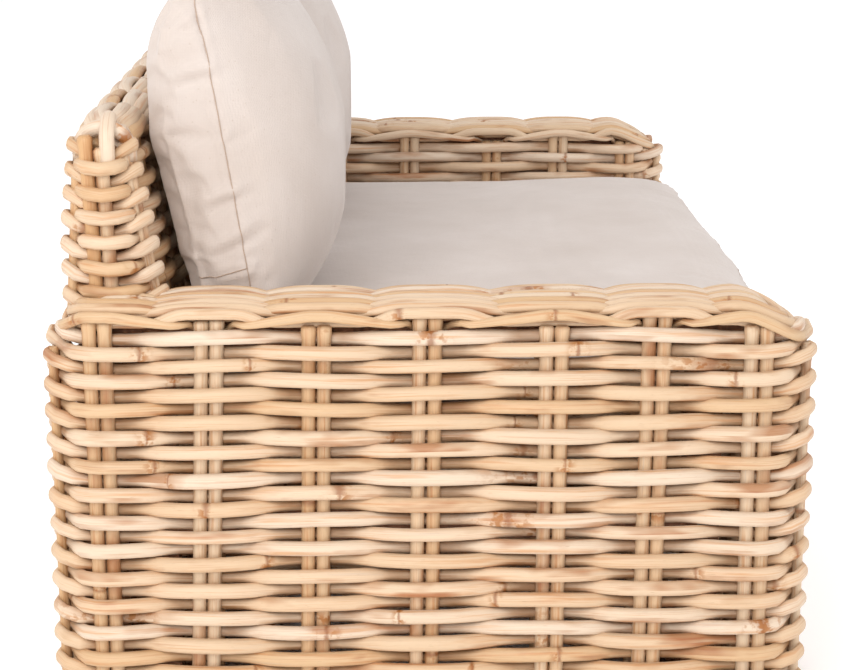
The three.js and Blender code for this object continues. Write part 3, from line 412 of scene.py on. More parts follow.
class Canes:
    """Gathers canes and makes one mesh of them."""

    def __init__(self, name, material, sides=RING, seed=1):
        self.name, self.material, self.sides = name, material, sides
        self.random = np.random.default_rng(seed)
        self.verts, self.faces, self.uvs, self.tones, self.presses = [], [], [], [], []
        self.caps = []
        self.count = 0

    def add(self, points, normals, radius_n, radius_b, closed=False, press=0.0):
        """One cane through points; normals point outward, radius_n is along them, radius_b across."""
        points = np.asarray(points, float)
        n, k = len(points), self.sides
        if closed:
            tangent = np.roll(points, -1, 0) - np.roll(points, 1, 0)
        else:
            tangent = np.gradient(points, axis=0)
        tangent /= np.linalg.norm(tangent, axis=1, keepdims=True)
        normals = normals - tangent * np.sum(normals * tangent, 1, keepdims=True)
        normals /= np.linalg.norm(normals, axis=1, keepdims=True)
        across = np.cross(tangent, normals)
        angle = 2 * math.pi * np.arange(k) / k
        ring = (points[:, None]
                + normals[:, None] * (np.cos(angle)[None, :, None] * np.reshape(radius_n, (-1, 1, 1)))
                + across[:, None] * (np.sin(angle)[None, :, None] * np.reshape(radius_b, (-1, 1, 1))))
        self.verts.append(ring.reshape(-1, 3))
        rows = n if closed else n - 1
        i, j = np.meshgrid(np.arange(rows), np.arange(k), indexing="ij")
        i, j = i.ravel(), j.ravel()
        i1, j1 = (i + 1) % n, (j + 1) % k
        base = self.count
        self.faces.append(base + np.stack([i * k + j, i * k + j1, i1 * k + j1, i1 * k + j], 1))
        steps = np.linalg.norm(np.diff(np.vstack([points, points[:1]]), axis=0), axis=1)
        along = np.concatenate([[0], np.cumsum(steps)])
        around = np.stack([j, j + 1, j + 1, j], 1) / k
        self.uvs.append(np.stack([along[np.stack([i, i, i + 1, i + 1], 1)], around], -1).reshape(-1, 2))
        if not closed:
            self.caps.append(base + np.arange(k)[::-1])
            self.caps.append(base + (n - 1) * k + np.arange(k))
        self.tones.append(np.full(n * k, self.random.uniform()))
        self.presses.append(np.repeat(np.broadcast_to(press, n), k))
        self.count += n * k

    def build(self, *nodes, slot="weave_cane"):
        quads = np.vstack(self.faces)
        faces = quads.tolist() + [cap.tolist() for cap in self.caps]
        piece = new_piece(self.name, np.vstack(self.verts), faces, len(quads),
                          {"tone": np.concatenate(self.tones), "press": np.concatenate(self.presses)})
        uv = np.zeros((len(piece.data.loops), 2))
        sides_uv = np.vstack(self.uvs)
        uv[:len(sides_uv)] = sides_uv
        piece.data.uv_layers.new(name="cane").data.foreach_set("uv", uv.ravel())
        piece.data.materials.append(self.material)
        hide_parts(*nodes)
        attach(piece, "frame")


def settled(s, z, length):
    """How far rows have settled out of level: alike from row to row, and slowly changing."""
    turn = 2 * math.pi * s / length
    waves = np.sin(3 * turn + 17 * z) + np.sin(5 * turn - 23 * z + 1) + np.sin(8 * turn + 11 * z + 2)
    return 0.8 * MM * waves


ROW_OUT = 13.5 * MM  # how far a row stands out from the middle of the stakes outside them
ROW_IN = 8.5 * MM  # and inside them
ROW_RIDE = 2.8 * MM  # and how much higher it stands there


def weave_row(canes, line, stations, z, sign, pitch, spacing=10.5 * MM, cane=CANE, corner_out=-2 * MM,
              corner_shift=6 * MM, rise=7 * MM, top=None, thinning=0.2, ride=ROW_RIDE):
    """One row of cane that passes outside and inside the stations of a plan line by turns.

    At a corner it stands out by corner_out more and is moved out by corner_shift, and it climbs by
    rise, less so right under top. Thinning is the share that it loses where it passes inside."""
    s = samples_between(stations, line.length, line.closed, spacing)
    wave = wave_along(s, stations, line.length, line.closed, sign)
    # The cane hugs its pair of stakes and crosses over between two pairs.
    wave = np.sign(wave) * np.abs(wave) ** 0.8
    over = np.clip(wave, 0, 1)
    places = [at for at, _ in stations]
    period = line.length if line.closed else None
    corners = [1.0 if hold == SINGLE_HOLD else 0.0 for _, hold in stations]
    at_corner = np.interp(s, places, corners, period=period) ** 1.6
    normal = line.normal(s)
    reach = np.where(wave > 0, (ROW_OUT + corner_out * at_corner) * wave, ROW_IN * wave)
    reach = reach + corner_shift * at_corner
    plan = line.point(s) + normal * reach[:, None]
    # Pressed down row by row, a cane stands higher outside the stakes than inside them.
    turns = line.length if line.closed else max(line.length, 0.5)
    lifts = canes.random.normal(0, 0.9 * MM, len(places))
    height = z + settled(s, z, turns) + np.interp(s, places, lifts, period=period) + ride * wave
    if line.closed:
        # The wall on the far side was pressed down a little more.
        height = height - 2 * MM * (1 + np.cos(2 * math.pi * s / line.length))
    # The rows climb round a corner, less so right under the border.
    climb = rise if top is None else rise * float(smooth((top - z) / (40 * MM)))
    height = height + at_corner * (climb + 3 * MM * over)
    size = canes.random.normal(1.0, 0.06)
    # Squeezed between its neighbours, a cane thins towards the stakes that it passes inside.
    dive = smooth((0.1 - wave) / 1.1)
    deep = cane * size * (0.98 - 0.08 * dive) * (1 - 0.38 * at_corner * over)
    thick = np.minimum(cane * size * 1.06, 0.5 * pitch * (1.0 + (0.10 + 0.18 * at_corner) * over))
    # press is 1 where the cane goes in behind the stakes; the cane material paints stain and painted shade
    # there.
    canes.add(np.column_stack([plan, height]), np.column_stack([normal, np.zeros(len(s))]), deep,
              thick * (1.03 - thinning * dive), closed=line.closed, press=smooth((-0.25 - wave) / 0.6))


def stake(canes, place, low, high, lean=(0, 0), radius=STAKE):
    """An upright cane from low to high; place is its foot and lean how far its top stands off it."""
    # The cut top is battered a little wider and eased with a knife.
    down = np.concatenate([np.linspace(high - low, 16 * MM, 11), [9 * MM, 3 * MM, 0.0]])
    taper = np.concatenate([np.ones(11), [1.1, 1.1, 0.72]])
    t = 1 - down / (high - low)
    bend = canes.random.normal(0, 0.5 * MM, 2)
    points = np.column_stack([
        place[0] + lean[0] * t + bend[0] * np.sin(math.pi * t),
        place[1] + lean[1] * t + bend[1] * np.sin(math.pi * t),
        low + (high - low) * t])
    canes.add(points, np.tile([1.0, 0.0, 0.0], (len(t), 1)), radius * taper, radius * taper)


PAIR_HALF = 8.9 * MM  # from the middle of a pair to the middle of each of its stakes
ARM_PAIRS = [y * MM for y in (379, 252, 131, 5, -139, -256, -373)]
ARM_LEANS = [y * MM for y in (-2, 17, 8, 6, 2, 5, -4)]  # how far the foot of each pair is off its top
STAKE_TOPS = [z * MM for z in (4, 5, -4, 8, -5, 12, -6)]  # over the top of the weave
BAY_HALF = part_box("apron_weave")[1][0]
BAY_TRIM = 2 * MM  # the rows end this far short of the arms
BAY_PAIRS = [(i - 4.5) * (BAY_HALF * 2 / 10) for i in range(10)]


def bay_row(canes, y, z, sign, way, pitch):
    """A row of cane across the bay between the arms; way is 1 where its wall faces the front, else -1."""
    half = way * (BAY_HALF - BAY_TRIM)
    line = Line([(-half, y), (half, y)], False)
    marks = sorted((line.nearest((x, y)), PAIR_HOLD) for x in BAY_PAIRS)
    weave_row(canes, line, marks, z, sign, spacing=12 * MM, pitch=pitch)


def bay_stakes(canes, y, low, high, lean=0.0):
    """The pairs of stakes across the bay; lean is how far their tops stand off their feet."""
    for x in BAY_PAIRS:
        for k in (-1, 1):
            stake(canes, (x + k * PAIR_HALF, y), low, high, (0, lean))


def bay_pole(canes, y, z, half_height=POLE_HALF_HEIGHT):
    x = np.linspace(-BAY_HALF, BAY_HALF, 60)
    canes.add(np.column_stack([x, np.full(60, y), np.full(60, z)]), np.tile([0.0, 1.0, 0.0], (60, 1)),
              POLE_HALF_WIDTH, half_height)


BORDER_HOLD = 12 * MM  # half of the length over which a cane lies straight at a pair of stakes
BORDER_CORNER = 58 * MM  # of the outermost loop
BORDER_LEAST_CORNER = 13 * MM
LOWEST_RUN_SHORT = 46 * MM  # how far the lowest straight canes end from the end of the top
RUN_SHORT = 31 * MM  # and the others
# How the outer canes of both sets share their time on top, from the lowest; under 1 is longer.
ON_TOP = ((1.1, 0.9, 1.1), (0.6, 0.75, 0.85))


def border_canes(border, centre, half, along, places, base, crest, stake_at, levels=5,
                 flat=4.8 * MM, wide=6.3 * MM, lift=4.2 * MM, drops=(20, 10, 5, 2, 2),
                 falls=((12, 95), (12, 95)), loops=3, hang=0.0, other_side=1):
    """Two sets of canes that cover a domed top, each on top over every second pair of stakes.

    The outer canes run round the top as loops; the inner ones lie along it and tuck in at its ends.
    Along is the axis that the top runs along, and places are those of its pairs of stakes. Falls are,
    in millimetres, how far the top falls off at its low and its high end, and over what length.
    Other_side is -1 where the two sides of the top cross over at opposite pairs."""
    across = 1 - along
    sink = lift + 1.5 * MM
    a, b = half[across] - flat - lift - 3 * MM, crest - flat - lift - base
    fine = np.linspace(0, math.pi / 2, 400)
    arc = np.concatenate([[0], np.cumsum(np.hypot(np.diff(a * np.cos(fine)), np.diff(b * np.sin(fine))))])

    def spot(place, off):
        """A place in plan, from where it is along the top and how far off its middle line."""
        plan = [0.0, 0.0]
        plan[along], plan[across] = place, off
        return plan[0] + centre[0], plan[1] + centre[1]

    for group in (0, 1):
        for level in range(levels):
            share = (level + 0.5 * group) / levels
            phi = float(np.interp(share * arc[-1], arc, fine))
            phi_top = float(np.interp((level + 0.12) / levels * arc[-1], arc, fine))
            inset = half[across] - a * math.cos(phi)
            lines = []
            if level < loops:
                loop = rounded_line(half[0] - inset, half[1] - inset,
                                    max(BORDER_CORNER - inset, BORDER_LEAST_CORNER), centre)
                marks = sorted((loop.nearest(spot(y, side * half[across])), BORDER_HOLD)
                               for y in places for side in (-1, 1))
                which = nearest_station(marks, loop.nearest(spot(places[1], stake_at * half[across])))
                lines.append((loop, marks, (-1) ** (which + group), 1))
            else:
                for side in (-1, 1):
                    reach = half[along] - (RUN_SHORT if level else LOWEST_RUN_SHORT)
                    off = side * a * math.cos(phi)
                    run = Line([spot(-reach, off), spot(reach, off)], False)
                    marks = sorted((run.nearest(spot(y, side * half[across])), BORDER_HOLD) for y in places)
                    which = nearest_station(marks, run.nearest(spot(places[1], side * half[across])))
                    # The outward side of a run lies to the right of its way on one axis only.
                    phase = 1 if side == stake_at else other_side
                    lines.append((run, marks, phase * (-1) ** (which + group), side))
            for line, marks, sign, side in lines:
                s = samples_between(marks, line.length, line.closed, 9 * MM)
                wave = wave_along(s, marks, line.length, line.closed, sign)
                # The lowest canes of one set stay on top for longer than those of the other.
                turn = np.arccos(np.clip(wave, -1, 1)) / math.pi
                if level == 0 and group == 1 and hang:
                    wave = 1 - 2 * smooth((turn - 0.68) / 0.32)
                else:
                    bias = ON_TOP[group][level] if level < 3 else 1.0
                    wave = 2 * ((wave + 1) / 2) ** bias - 1
                angle = phi + (phi_top - phi) * smooth(wave)
                plan = line.point(s)
                outward = line.normal(s)
                if not line.closed:
                    outward = np.zeros((len(s), 2))
                    outward[:, across] = side
                normal = np.column_stack([outward * np.cos(angle)[:, None], np.sin(angle)])
                shift = a * math.cos(phi) - a * np.cos(angle)
                points = np.column_stack([plan - outward * shift[:, None], base + b * np.sin(angle)])
                points = points + normal * np.where(wave > 0, lift * wave, sink * wave)[:, None]
                if level == 0:
                    # Here the canes go in behind the tops of the stakes, or under the other set.
                    inward = (8 * MM, 20 * MM)[group] * smooth(-wave / 0.8)
                    points[:, :2] -= outward * inward[:, None]
                    points[:, 2] -= 0.4 * inward * (hang > 0)
                    points[:, 2] += (0.25 * hang * smooth(wave), -hang * np.clip(turn / 0.9, 0, 1))[group]
                off = points[:, along] - centre[along]
                for way, (depth, over) in zip((-1, 1), falls):
                    points[:, 2] -= depth * MM * smooth((way * off - half[along] + over * MM) / (over * MM))
                off = np.abs(off)
                if not line.closed:
                    tuck = smooth((off - (half[along] - 70 * MM)) / (46 * MM))
                    points[:, 2] -= 20 * MM * tuck
                drop = 0.0 if hang and level == 0 and group == 1 else drops[level] * (0.4, 1.0)[group] * MM
                points[:, 2] -= drop * smooth((0.9 - wave) / 1.5)
                dive = smooth((0.6 - wave) / 1.2)
                if level == 0 and group == 1 and hang:
                    dive = smooth((turn - 0.15) / 0.8)
                border.add(points, normal, flat * (1 - 0.25 * dive), wide * (1.04 - 0.42 * dive),
                           closed=line.closed)


# Arms

arms_middle = (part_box("left_arm_weave")[0][1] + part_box("left_arm_weave")[1][1]) / 2
ARM_CORNER = 36 * MM
turn_in = math.radians(70)
for side in ("left", "right"):
    lo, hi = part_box(f"{side}_arm_weave")
    centre = ((lo[0] + hi[0]) / 2, (lo[1] + hi[1]) / 2)
    half = ((hi[0] - lo[0]) / 2, (hi[1] - lo[1]) / 2)
    # The rows of the right arm lie tighter and more level.
    seed, thinning, ride = (11, 0.16, ROW_RIDE) if side == "left" else (23, -0.05, 1.2 * MM)
    mid_x, mid_y = half[0] - WALL_OUT, half[1] - WALL_OUT
    line = rounded_line(mid_x, mid_y, ARM_CORNER, centre)
    foot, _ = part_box(f"{side}_arm_stakes")
    low = foot[2] + POLE_HALF_HEIGHT
    height = hi[2] - low
    pairs = [(sx * mid_x, y) for sx in (-1, 1) for y in ARM_PAIRS]
    corners = [(sx, sy) for sx in (-1, 1) for sy in (-1, 1)]

    def round_corner(sx, sy, angle, radius):
        """A place at this angle round a corner of the arm; radius is from the corner's middle."""
        return (sx * (mid_x - ARM_CORNER + radius * math.cos(angle)),
                sy * (mid_y - ARM_CORNER + radius * math.sin(angle)))

    singles = [round_corner(sx, sy, turn_in, ARM_CORNER) for sx, sy in corners]

    def where(p):
        return (p[0] + centre[0], p[1] + centre[1])

    def stations_at(z, run):
        """The stakes that a row at this height passes; the pairs stand a little askew."""
        share = 1 - (z - low) / height
        feet = [(x, y + lean * share) for (x, y), lean in zip(pairs, ARM_LEANS * 2)]
        return sorted([(run.nearest(where(p)), PAIR_HOLD) for p in feet]
                      + [(run.nearest(where(p)), SINGLE_HOLD) for p in singles])

    stations = stations_at(hi[2], line)
    # Rows count down from the border; the first passes over the second pair from the back.
    outer_sign = 1 if side == "left" else -1
    index = nearest_station(stations, line.nearest(where((outer_sign * -mid_x, ARM_PAIRS[1]))))
    weave = Canes(f"{side}_arm_woven_canes", WEAVE_CANE, seed=seed)
    rows = round((hi[2] - lo[2]) / ROW_PITCH)
    pitch = (hi[2] - lo[2]) / rows
    for row in range(1, rows):
        z = hi[2] - row * pitch
        # Under the border the rows lie tight; the first is drawn in at both ends.
        drawn_in = 10 * MM if row == 1 else 0.0
        run = rounded_line(mid_x, mid_y - drawn_in, ARM_CORNER, centre)
        weave_row(weave, run, stations_at(z, run), z, (-1) ** (index + row + 1), ROW_PITCH, top=hi[2],
                  corner_shift=6 * MM - 0.6 * drawn_in, thinning=thinning + 0.22 * (hi[2] - z), ride=ride)
    weave.build(f"{side}_arm_weave")

    stakes = Canes(f"{side}_arm_stake_canes", STAKE_CANE, sides=SIDES, seed=seed + 1)
    for (x, y), lean, rise in zip(pairs, ARM_LEANS * 2, STAKE_TOPS * 2):
        for k in (-1, 1):
            uneven = stakes.random.normal(0, 0.8 * MM)
            stake(stakes, where((x, y + lean + k * PAIR_HALF)), low, hi[2] + rise + uneven, (0, -lean))
    # Two slim stakes stand at each corner, a little farther round it than the canes are bent.
    for sx, sy in corners:
        for angle, set_out in ((74, 9 * MM), (80, -4 * MM)):
            p = round_corner(sx, sy, math.radians(angle), ARM_CORNER + set_out)
            stake(stakes, where(p), low, hi[2] - 33 * MM, radius=6.2 * MM)
    s = np.linspace(0, line.length, 160, endpoint=False)
    normal = np.column_stack([line.normal(s), np.zeros(len(s))])
    stakes.add(np.column_stack([line.point(s), np.full(len(s), low)]), normal, POLE_HALF_WIDTH,
               POLE_HALF_HEIGHT, closed=True)
    stakes.build(f"{side}_arm_stakes", slot="stake_cane")

    # The border: two sets of canes that cover the domed top, each on top over every second pair.
    lo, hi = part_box(f"{side}_arm_border")
    border = Canes(f"{side}_arm_border_canes", BORDER_CANE, seed=seed + 2)
    border_canes(border, (centre[0], centre[1] - 2.5 * MM), (half[0], half[1] - 12 * MM), 1, ARM_PAIRS,
                 lo[2] + 8 * MM, hi[2] - 7 * MM, outer_sign * -1, falls=((30, 95), (14, 42)), hang=13 * MM,
                 other_side=-1)
    border.build(f"{side}_arm_border", slot="border_cane")

# Back

lo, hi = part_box("back_weave")
border_lo, border_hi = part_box("back_border")
upper_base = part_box("left_arm_border")[1][2]
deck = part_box("seat_slat_1")[1][2]
rear_y, back_top, back_half = hi[1], hi[2], hi[0]
depth_top = border_hi[1] - border_lo[1]
slope = math.tan(math.radians(10))
UPPER_ROWS = 11
UPPER_FRONT_IN = 3.5 * MM  # the rounded upper part stands this far behind the raked front
UPPER_CORNER = 22 * MM


def back_front(z):
    """Y of the crest of the raked front of the back."""
    return rear_y - depth_top - (back_top - z) * slope


def back_rear(z):
    """Y of the crest of its rear, which leans in towards the top."""
    rise = np.clip((z - upper_base) / (back_top - upper_base), 0, 1)
    return rear_y + 2 * MM - 13 * MM * rise ** 1.8


def upper_span(front_z, rear_z):
    """Y of the stakes of the upper part, in front and behind."""
    return back_front(front_z) + WALL_OUT + UPPER_FRONT_IN, back_rear(rear_z) - WALL_OUT


back = Canes("back_woven_canes", WEAVE_CANE, sides=SIDES, seed=41)
# The rows of the upper part run round its ends; two of them go on down behind the arms' border.
turn_in = math.radians(75)
pitch = (back_top - upper_base) / UPPER_ROWS
upper_end = back_top - (UPPER_ROWS + 2) * pitch
end_x = back_half - WALL_OUT
corner_x = end_x - UPPER_CORNER * (1 - math.cos(turn_in))
for row in range(UPPER_ROWS + 2):
    z = back_top - (row + 0.5) * pitch - 6 * MM
    y0, y1 = upper_span(z, z)
    mid_y = (y0 + y1) / 2
    loop = rounded_line(end_x, (y1 - y0) / 2, UPPER_CORNER, (0.0, mid_y))
    marks = [(loop.nearest((x, y)), PAIR_HOLD) for x in BAY_PAIRS for y in (y0, y1)]
    for sx in (-1, 1):
        marks.append((loop.nearest((sx * end_x, mid_y)), 15 * MM))
        marks.extend((loop.nearest((sx * corner_x, y)), SINGLE_HOLD) for y in (y0, y1))
    weave_row(back, loop, sorted(marks), z, (-1) ** row, spacing=11 * MM, pitch=pitch, cane=8.2 * MM,
              corner_out=-4 * MM, corner_shift=7 * MM, rise=9 * MM, thinning=0.24)
lower_rows = round((upper_end - lo[2]) / ROW_PITCH)
pitch = (upper_end - lo[2]) / lower_rows
for row in range(1, lower_rows + 1):
    z = lo[2] + (row - 0.5) * pitch
    bay_row(back, rear_y - WALL_OUT, z, (-1) ** (row + 1), -1, pitch)
    if z > deck + CANE:
        bay_row(back, back_front(z) + WALL_OUT, z, (-1) ** row, 1, pitch)
back.build("back_weave")

rear_stakes = Canes("back_rear_stake_canes", STAKE_CANE, sides=SIDES, seed=51)
foot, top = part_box("back_rear_stakes")
bay_stakes(rear_stakes, rear_y - WALL_OUT, foot[2] + POLE_HALF_HEIGHT, top[2])
# The stakes that carry the rounded ends start inside the arms' border: a pair in the middle of the
# end, a slim pair at its front corner and one at its rear corner.
low = upper_end - 6 * MM
corner_top = top[2] - 10 * MM
lean_front = back_front(corner_top) - back_front(low)
lean_rear = back_rear(corner_top) - back_rear(upper_base)
y0, y1 = upper_span(low, upper_base)
for sx in (-1, 1):
    for k in (-1, 1):
        stake(rear_stakes, (sx * end_x, (y0 + y1) / 2 + 10 * MM + k * PAIR_HALF), low,
              top[2] + (7 + 7 * k) * MM, (0, (lean_front + lean_rear) / 2 - 2 * MM))
        stake(rear_stakes, (sx * (end_x - (19 + 2 * k) * MM), y0 - (7 + 2.6 * k) * MM), low, corner_top,
              (0, lean_front), radius=4.6 * MM)
    stake(rear_stakes, (sx * (end_x - 15 * MM), y1 + 9 * MM), low, corner_top - 14 * MM, (0, lean_rear),
          radius=6.4 * MM)
bay_pole(rear_stakes, rear_y - WALL_OUT, foot[2] + POLE_HALF_HEIGHT)
rear_stakes.build("back_rear_stakes", slot="stake_cane")

front_stakes = Canes("back_front_stake_canes", STAKE_CANE, sides=SIDES, seed=52)
foot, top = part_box("back_front_stakes")
low = foot[2] + 8 * MM
half_height = 8.6 * MM
bay_stakes(front_stakes, back_front(low) + WALL_OUT, low, top[2], (top[2] - low) * slope)
bay_pole(front_stakes, back_front(deck) + WALL_OUT, foot[2] + half_height, half_height)
front_stakes.build("back_front_stakes", slot="stake_cane")

# The border of the back, made as those of the arms are, of fewer and stouter canes.
lo, hi = border_lo, border_hi
border = Canes("back_border_canes", BORDER_CANE, seed=61)
cane = 8.0 * MM
mid_y = (back_front(hi[2]) + back_rear(hi[2])) / 2 - 2 * MM
half_y = depth_top / 2 - 7 * MM
border_canes(border, (0.0, mid_y), (hi[0] - 6 * MM, half_y), 0, BAY_PAIRS, lo[2] + 3 * MM,
             hi[2] - 3 * MM, 1, levels=3, flat=7.0 * MM, wide=9.6 * MM, lift=6.5 * MM, drops=(14, 8, 4),
             loops=0)
# At each end one cane lies across the top, and a stake is bent over it and tucked in.
t = np.linspace(0, 1, 21)
for sx in (-1, 1):
    angle = math.pi * t
    x = sx * (hi[0] - 37 * MM) - sx * 9 * MM * np.abs(np.cos(angle)) ** 3
    width, crest = half_y - 12 * MM, hi[2] - 14 * MM
    points = np.column_stack([x, mid_y - 2 * MM - width * np.cos(angle),
                              crest - 40 * MM * (1 - np.sin(angle) ** 0.6)])
    normal = np.column_stack([np.full(len(t), 0.3 * sx), -np.cos(angle), np.sin(angle) + 0.1])
    border.add(points, normal, cane * 1.1, cane)
    up, tuck = np.clip(t / 0.3, 0, 1), np.clip((t - 0.7) / 0.3, 0, 1)
    bend = math.pi / 2 * np.clip((t - 0.25) / 0.45, 0, 1)
    x = sx * (hi[0] - 18 * MM - 32 * MM * (1 - np.cos(bend)) - 30 * MM * tuck)
    y = mid_y - PAIR_HALF * 0.9 + 5 * MM * tuck
    z = lo[2] - 25 * MM + 32 * MM * up + (hi[2] - lo[2] - 12 * MM) * np.sin(bend) - 9 * MM * tuck ** 1.6
    normal = np.column_stack([sx * np.cos(bend), np.zeros(len(t)), np.sin(bend) + 0.1])
    border.add(np.column_stack([x, y, z]), normal, cane, cane * 1.1)
border.build("back_border", slot="border_cane")

# Apron

lo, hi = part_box("apron_weave")
apron = Canes("apron_woven_canes", WEAVE_CANE, sides=SIDES, seed=71)
apron_y = lo[1] + WALL_OUT
rows = round((hi[2] - lo[2]) / ROW_PITCH)
pitch = (hi[2] - lo[2]) / rows
for row in range(1, rows):
    bay_row(apron, apron_y, lo[2] + row * pitch, (-1) ** row, 1, pitch)
apron.build("apron_weave")
stakes = Canes("apron_stake_canes", STAKE_CANE, sides=SIDES, seed=72)
foot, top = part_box("apron_stakes")
bay_stakes(stakes, apron_y, foot[2] + POLE_HALF_HEIGHT, top[2])
bay_pole(stakes, apron_y, foot[2] + POLE_HALF_HEIGHT)
stakes.build("apron_stakes", slot="stake_cane")
# Its border is a narrow roll of two sets of four canes.
lo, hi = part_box("apron_border")
roll = Canes("apron_border_canes", BORDER_CANE, sides=SIDES, seed=73)
mid_y = (lo[1] + hi[1]) / 2
x = np.linspace(lo[0], hi[0], 130)
for group in (0, 1):
    for level in range(4):
        angle = math.pi * (level + 0.5 + 0.25 * group) / 4.25
        wave = (-1) ** group * np.cos(math.pi * (x - BAY_PAIRS[0]) / (BAY_PAIRS[1] - BAY_PAIRS[0]))
        normal = np.tile([0.0, -math.cos(angle), math.sin(angle)], (len(x), 1))
        dive = 1 - np.clip(wave, 0, 1)
        points = np.column_stack([x, np.full(len(x), mid_y - 11 * MM * math.cos(angle)),
                                  np.full(len(x), lo[2] + 5 * MM + 6 * MM * math.sin(angle))])
        points = points + normal * (2 * MM * wave)[:, None]
        roll.add(points, normal, 4.6 * MM, 5.2 * MM * (1 - 0.3 * dive))
roll.build("apron_border", slot="border_cane")

# Cushions


def deselect():
    for o in bpy.context.selected_objects:
        o.select_set(False)


def only(o):
    deselect()
    o.select_set(True)
    bpy.context.view_layer.objects.active = o


def coordinates(mesh, what="co"):
    out = np.empty(len(mesh.vertices) * 3)
    mesh.vertices.foreach_get(what, out)
    return out.reshape(-1, 3)


def set_coordinates(mesh, points):
    mesh.vertices.foreach_set("co", np.asarray(points, np.float32).ravel())
    mesh.update()


CUSHION_CUTS = 44
CLOTH_EDGE = 6 * MM  # of the cloth's mesh


def cushion_block(name):
    """A cube from -1 to 1 with evenly spaced edges along each axis."""
    deselect()
    bpy.ops.mesh.primitive_cube_add(size=2)
    block = bpy.context.object
    block.name = name
    bpy.ops.object.mode_set(mode="EDIT")
    bpy.ops.mesh.select_all(action="SELECT")
    bpy.ops.mesh.subdivide(number_cuts=CUSHION_CUTS)
    bpy.ops.object.mode_set(mode="OBJECT")
    return block


def puff(block, cap, pressure, frames, levels):
    """Remeshes the block, blows it up as cloth, holds each point within cap, and keeps the result."""
    only(block)
    block.data.remesh_voxel_size = CLOTH_EDGE
    bpy.ops.object.voxel_remesh()
    start = coordinates(block.data)
    bpy.ops.object.modifier_add(type="CLOTH")
    cloth = block.modifiers[-1]
    cloth.settings.quality = 4
    cloth.settings.mass = 0.35
    cloth.settings.tension_stiffness = 18
    cloth.settings.compression_stiffness = 18
    cloth.settings.bending_stiffness = 0.6
    cloth.settings.use_pressure = True
    cloth.settings.uniform_pressure_force = pressure
    cloth.settings.shrink_min = -0.035
    cloth.settings.effector_weights.gravity = 0
    cloth.point_cache.frame_start, cloth.point_cache.frame_end = 1, frames
    for number in range(1, frames + 1):
        bpy.context.scene.frame_set(number)
    bpy.ops.object.modifier_apply(modifier=cloth.name)
    bpy.context.scene.frame_set(1)
    moved = coordinates(block.data) - start
    size = np.linalg.norm(moved, axis=1, keepdims=True)
    set_coordinates(block.data, start + moved * np.minimum(1, cap / np.maximum(size, 1e-9)))
    if levels:
        bpy.ops.object.modifier_add(type="SUBSURF")
        block.modifiers[-1].levels = block.modifiers[-1].render_levels = levels
        bpy.ops.object.modifier_apply(modifier=block.modifiers[-1].name)
    bpy.ops.object.shade_smooth()


def closest(points, curve, limit=60 * MM):
    """Distance from each point to a polyline and how far along it the nearest place is."""
    best = np.full(len(points), np.inf)
    along = np.zeros(len(points))
    run = 0.0
    for a, b in zip(curve[:-1], curve[1:]):
        edge = b - a
        length = float(np.linalg.norm(edge))
        low, high = np.minimum(a, b) - limit, np.maximum(a, b) + limit
        near = np.all((points > low) & (points < high), axis=1)
        if length > 0 and near.any():
            t = np.clip((points[near] - a) @ edge / length ** 2, 0, 1)
            d = np.linalg.norm(points[near] - a - t[:, None] * edge, axis=1)
            better = d < best[near]
            where_near = np.nonzero(near)[0][better]
            best[where_near] = d[better]
            along[where_near] = run + t[better] * length
        run += length
    return best, along


def sew(block, curves):
    """Draws seams in: a fine valley with a soft ridge on both sides, puckered by the stitches."""
    points, normals = coordinates(block.data), coordinates(block.data, "normal")
    push = np.zeros(len(points))
    for curve in curves:
        d, along = closest(points, curve)
        push -= 3.0 * MM * np.exp(-(d / (2.6 * MM)) ** 2)
        push += 1.5 * MM * np.exp(-((d - 8 * MM) / (4.5 * MM)) ** 2)
        pucker = np.sin(2 * math.pi * along / (31 * MM)) + 0.6 * np.sin(2 * math.pi * along / (47 * MM) + 1)
        push += 0.7 * MM * pucker * np.exp(-d / (16 * MM))
    set_coordinates(block.data, points + normals * push[:, None])


def fold(block, folds):
    """Soft creases: each is (start, end, half width, depth), a valley beside a ridge."""
    points, normals = coordinates(block.data), coordinates(block.data, "normal")
    push = np.zeros(len(points))
    for start, end, width, depth in folds:
        start, end = np.array(start), np.array(end)
        edge = end - start
        length = np.linalg.norm(edge)
        t = (points - start) @ edge / length ** 2
        off = points - start - np.clip(t, 0, 1)[:, None] * edge
        facing = np.cross(normals, edge / length)
        side_of = np.sum(off * facing, axis=1)
        d = np.linalg.norm(off, axis=1)
        fade = np.exp(-np.maximum(d - np.abs(side_of), 0) / width) * np.where(
            (t > -0.4) & (t < 1.4), np.clip(np.sin(math.pi * np.clip((t + 0.3) / 1.6, 0, 1)), 0, 1), 0)
        profile = (np.exp(-((side_of - 0.8 * width) / width) ** 2)
                   - 1.3 * np.exp(-((side_of + 0.5 * width) / (0.7 * width)) ** 2))
        push += depth * profile * fade * np.exp(-(d / (3.2 * width)) ** 4)
    set_coordinates(block.data, points + normals * push[:, None])


def settle(block, low, high, rear=None):
    """Keeps a cushion inside its space, and flat where it rests."""
    points = np.clip(coordinates(block.data), low, high)
    if rear is not None:
        points[:, 1] = np.minimum(points[:, 1], rear(points[:, 2]))
    set_coordinates(block.data, points)


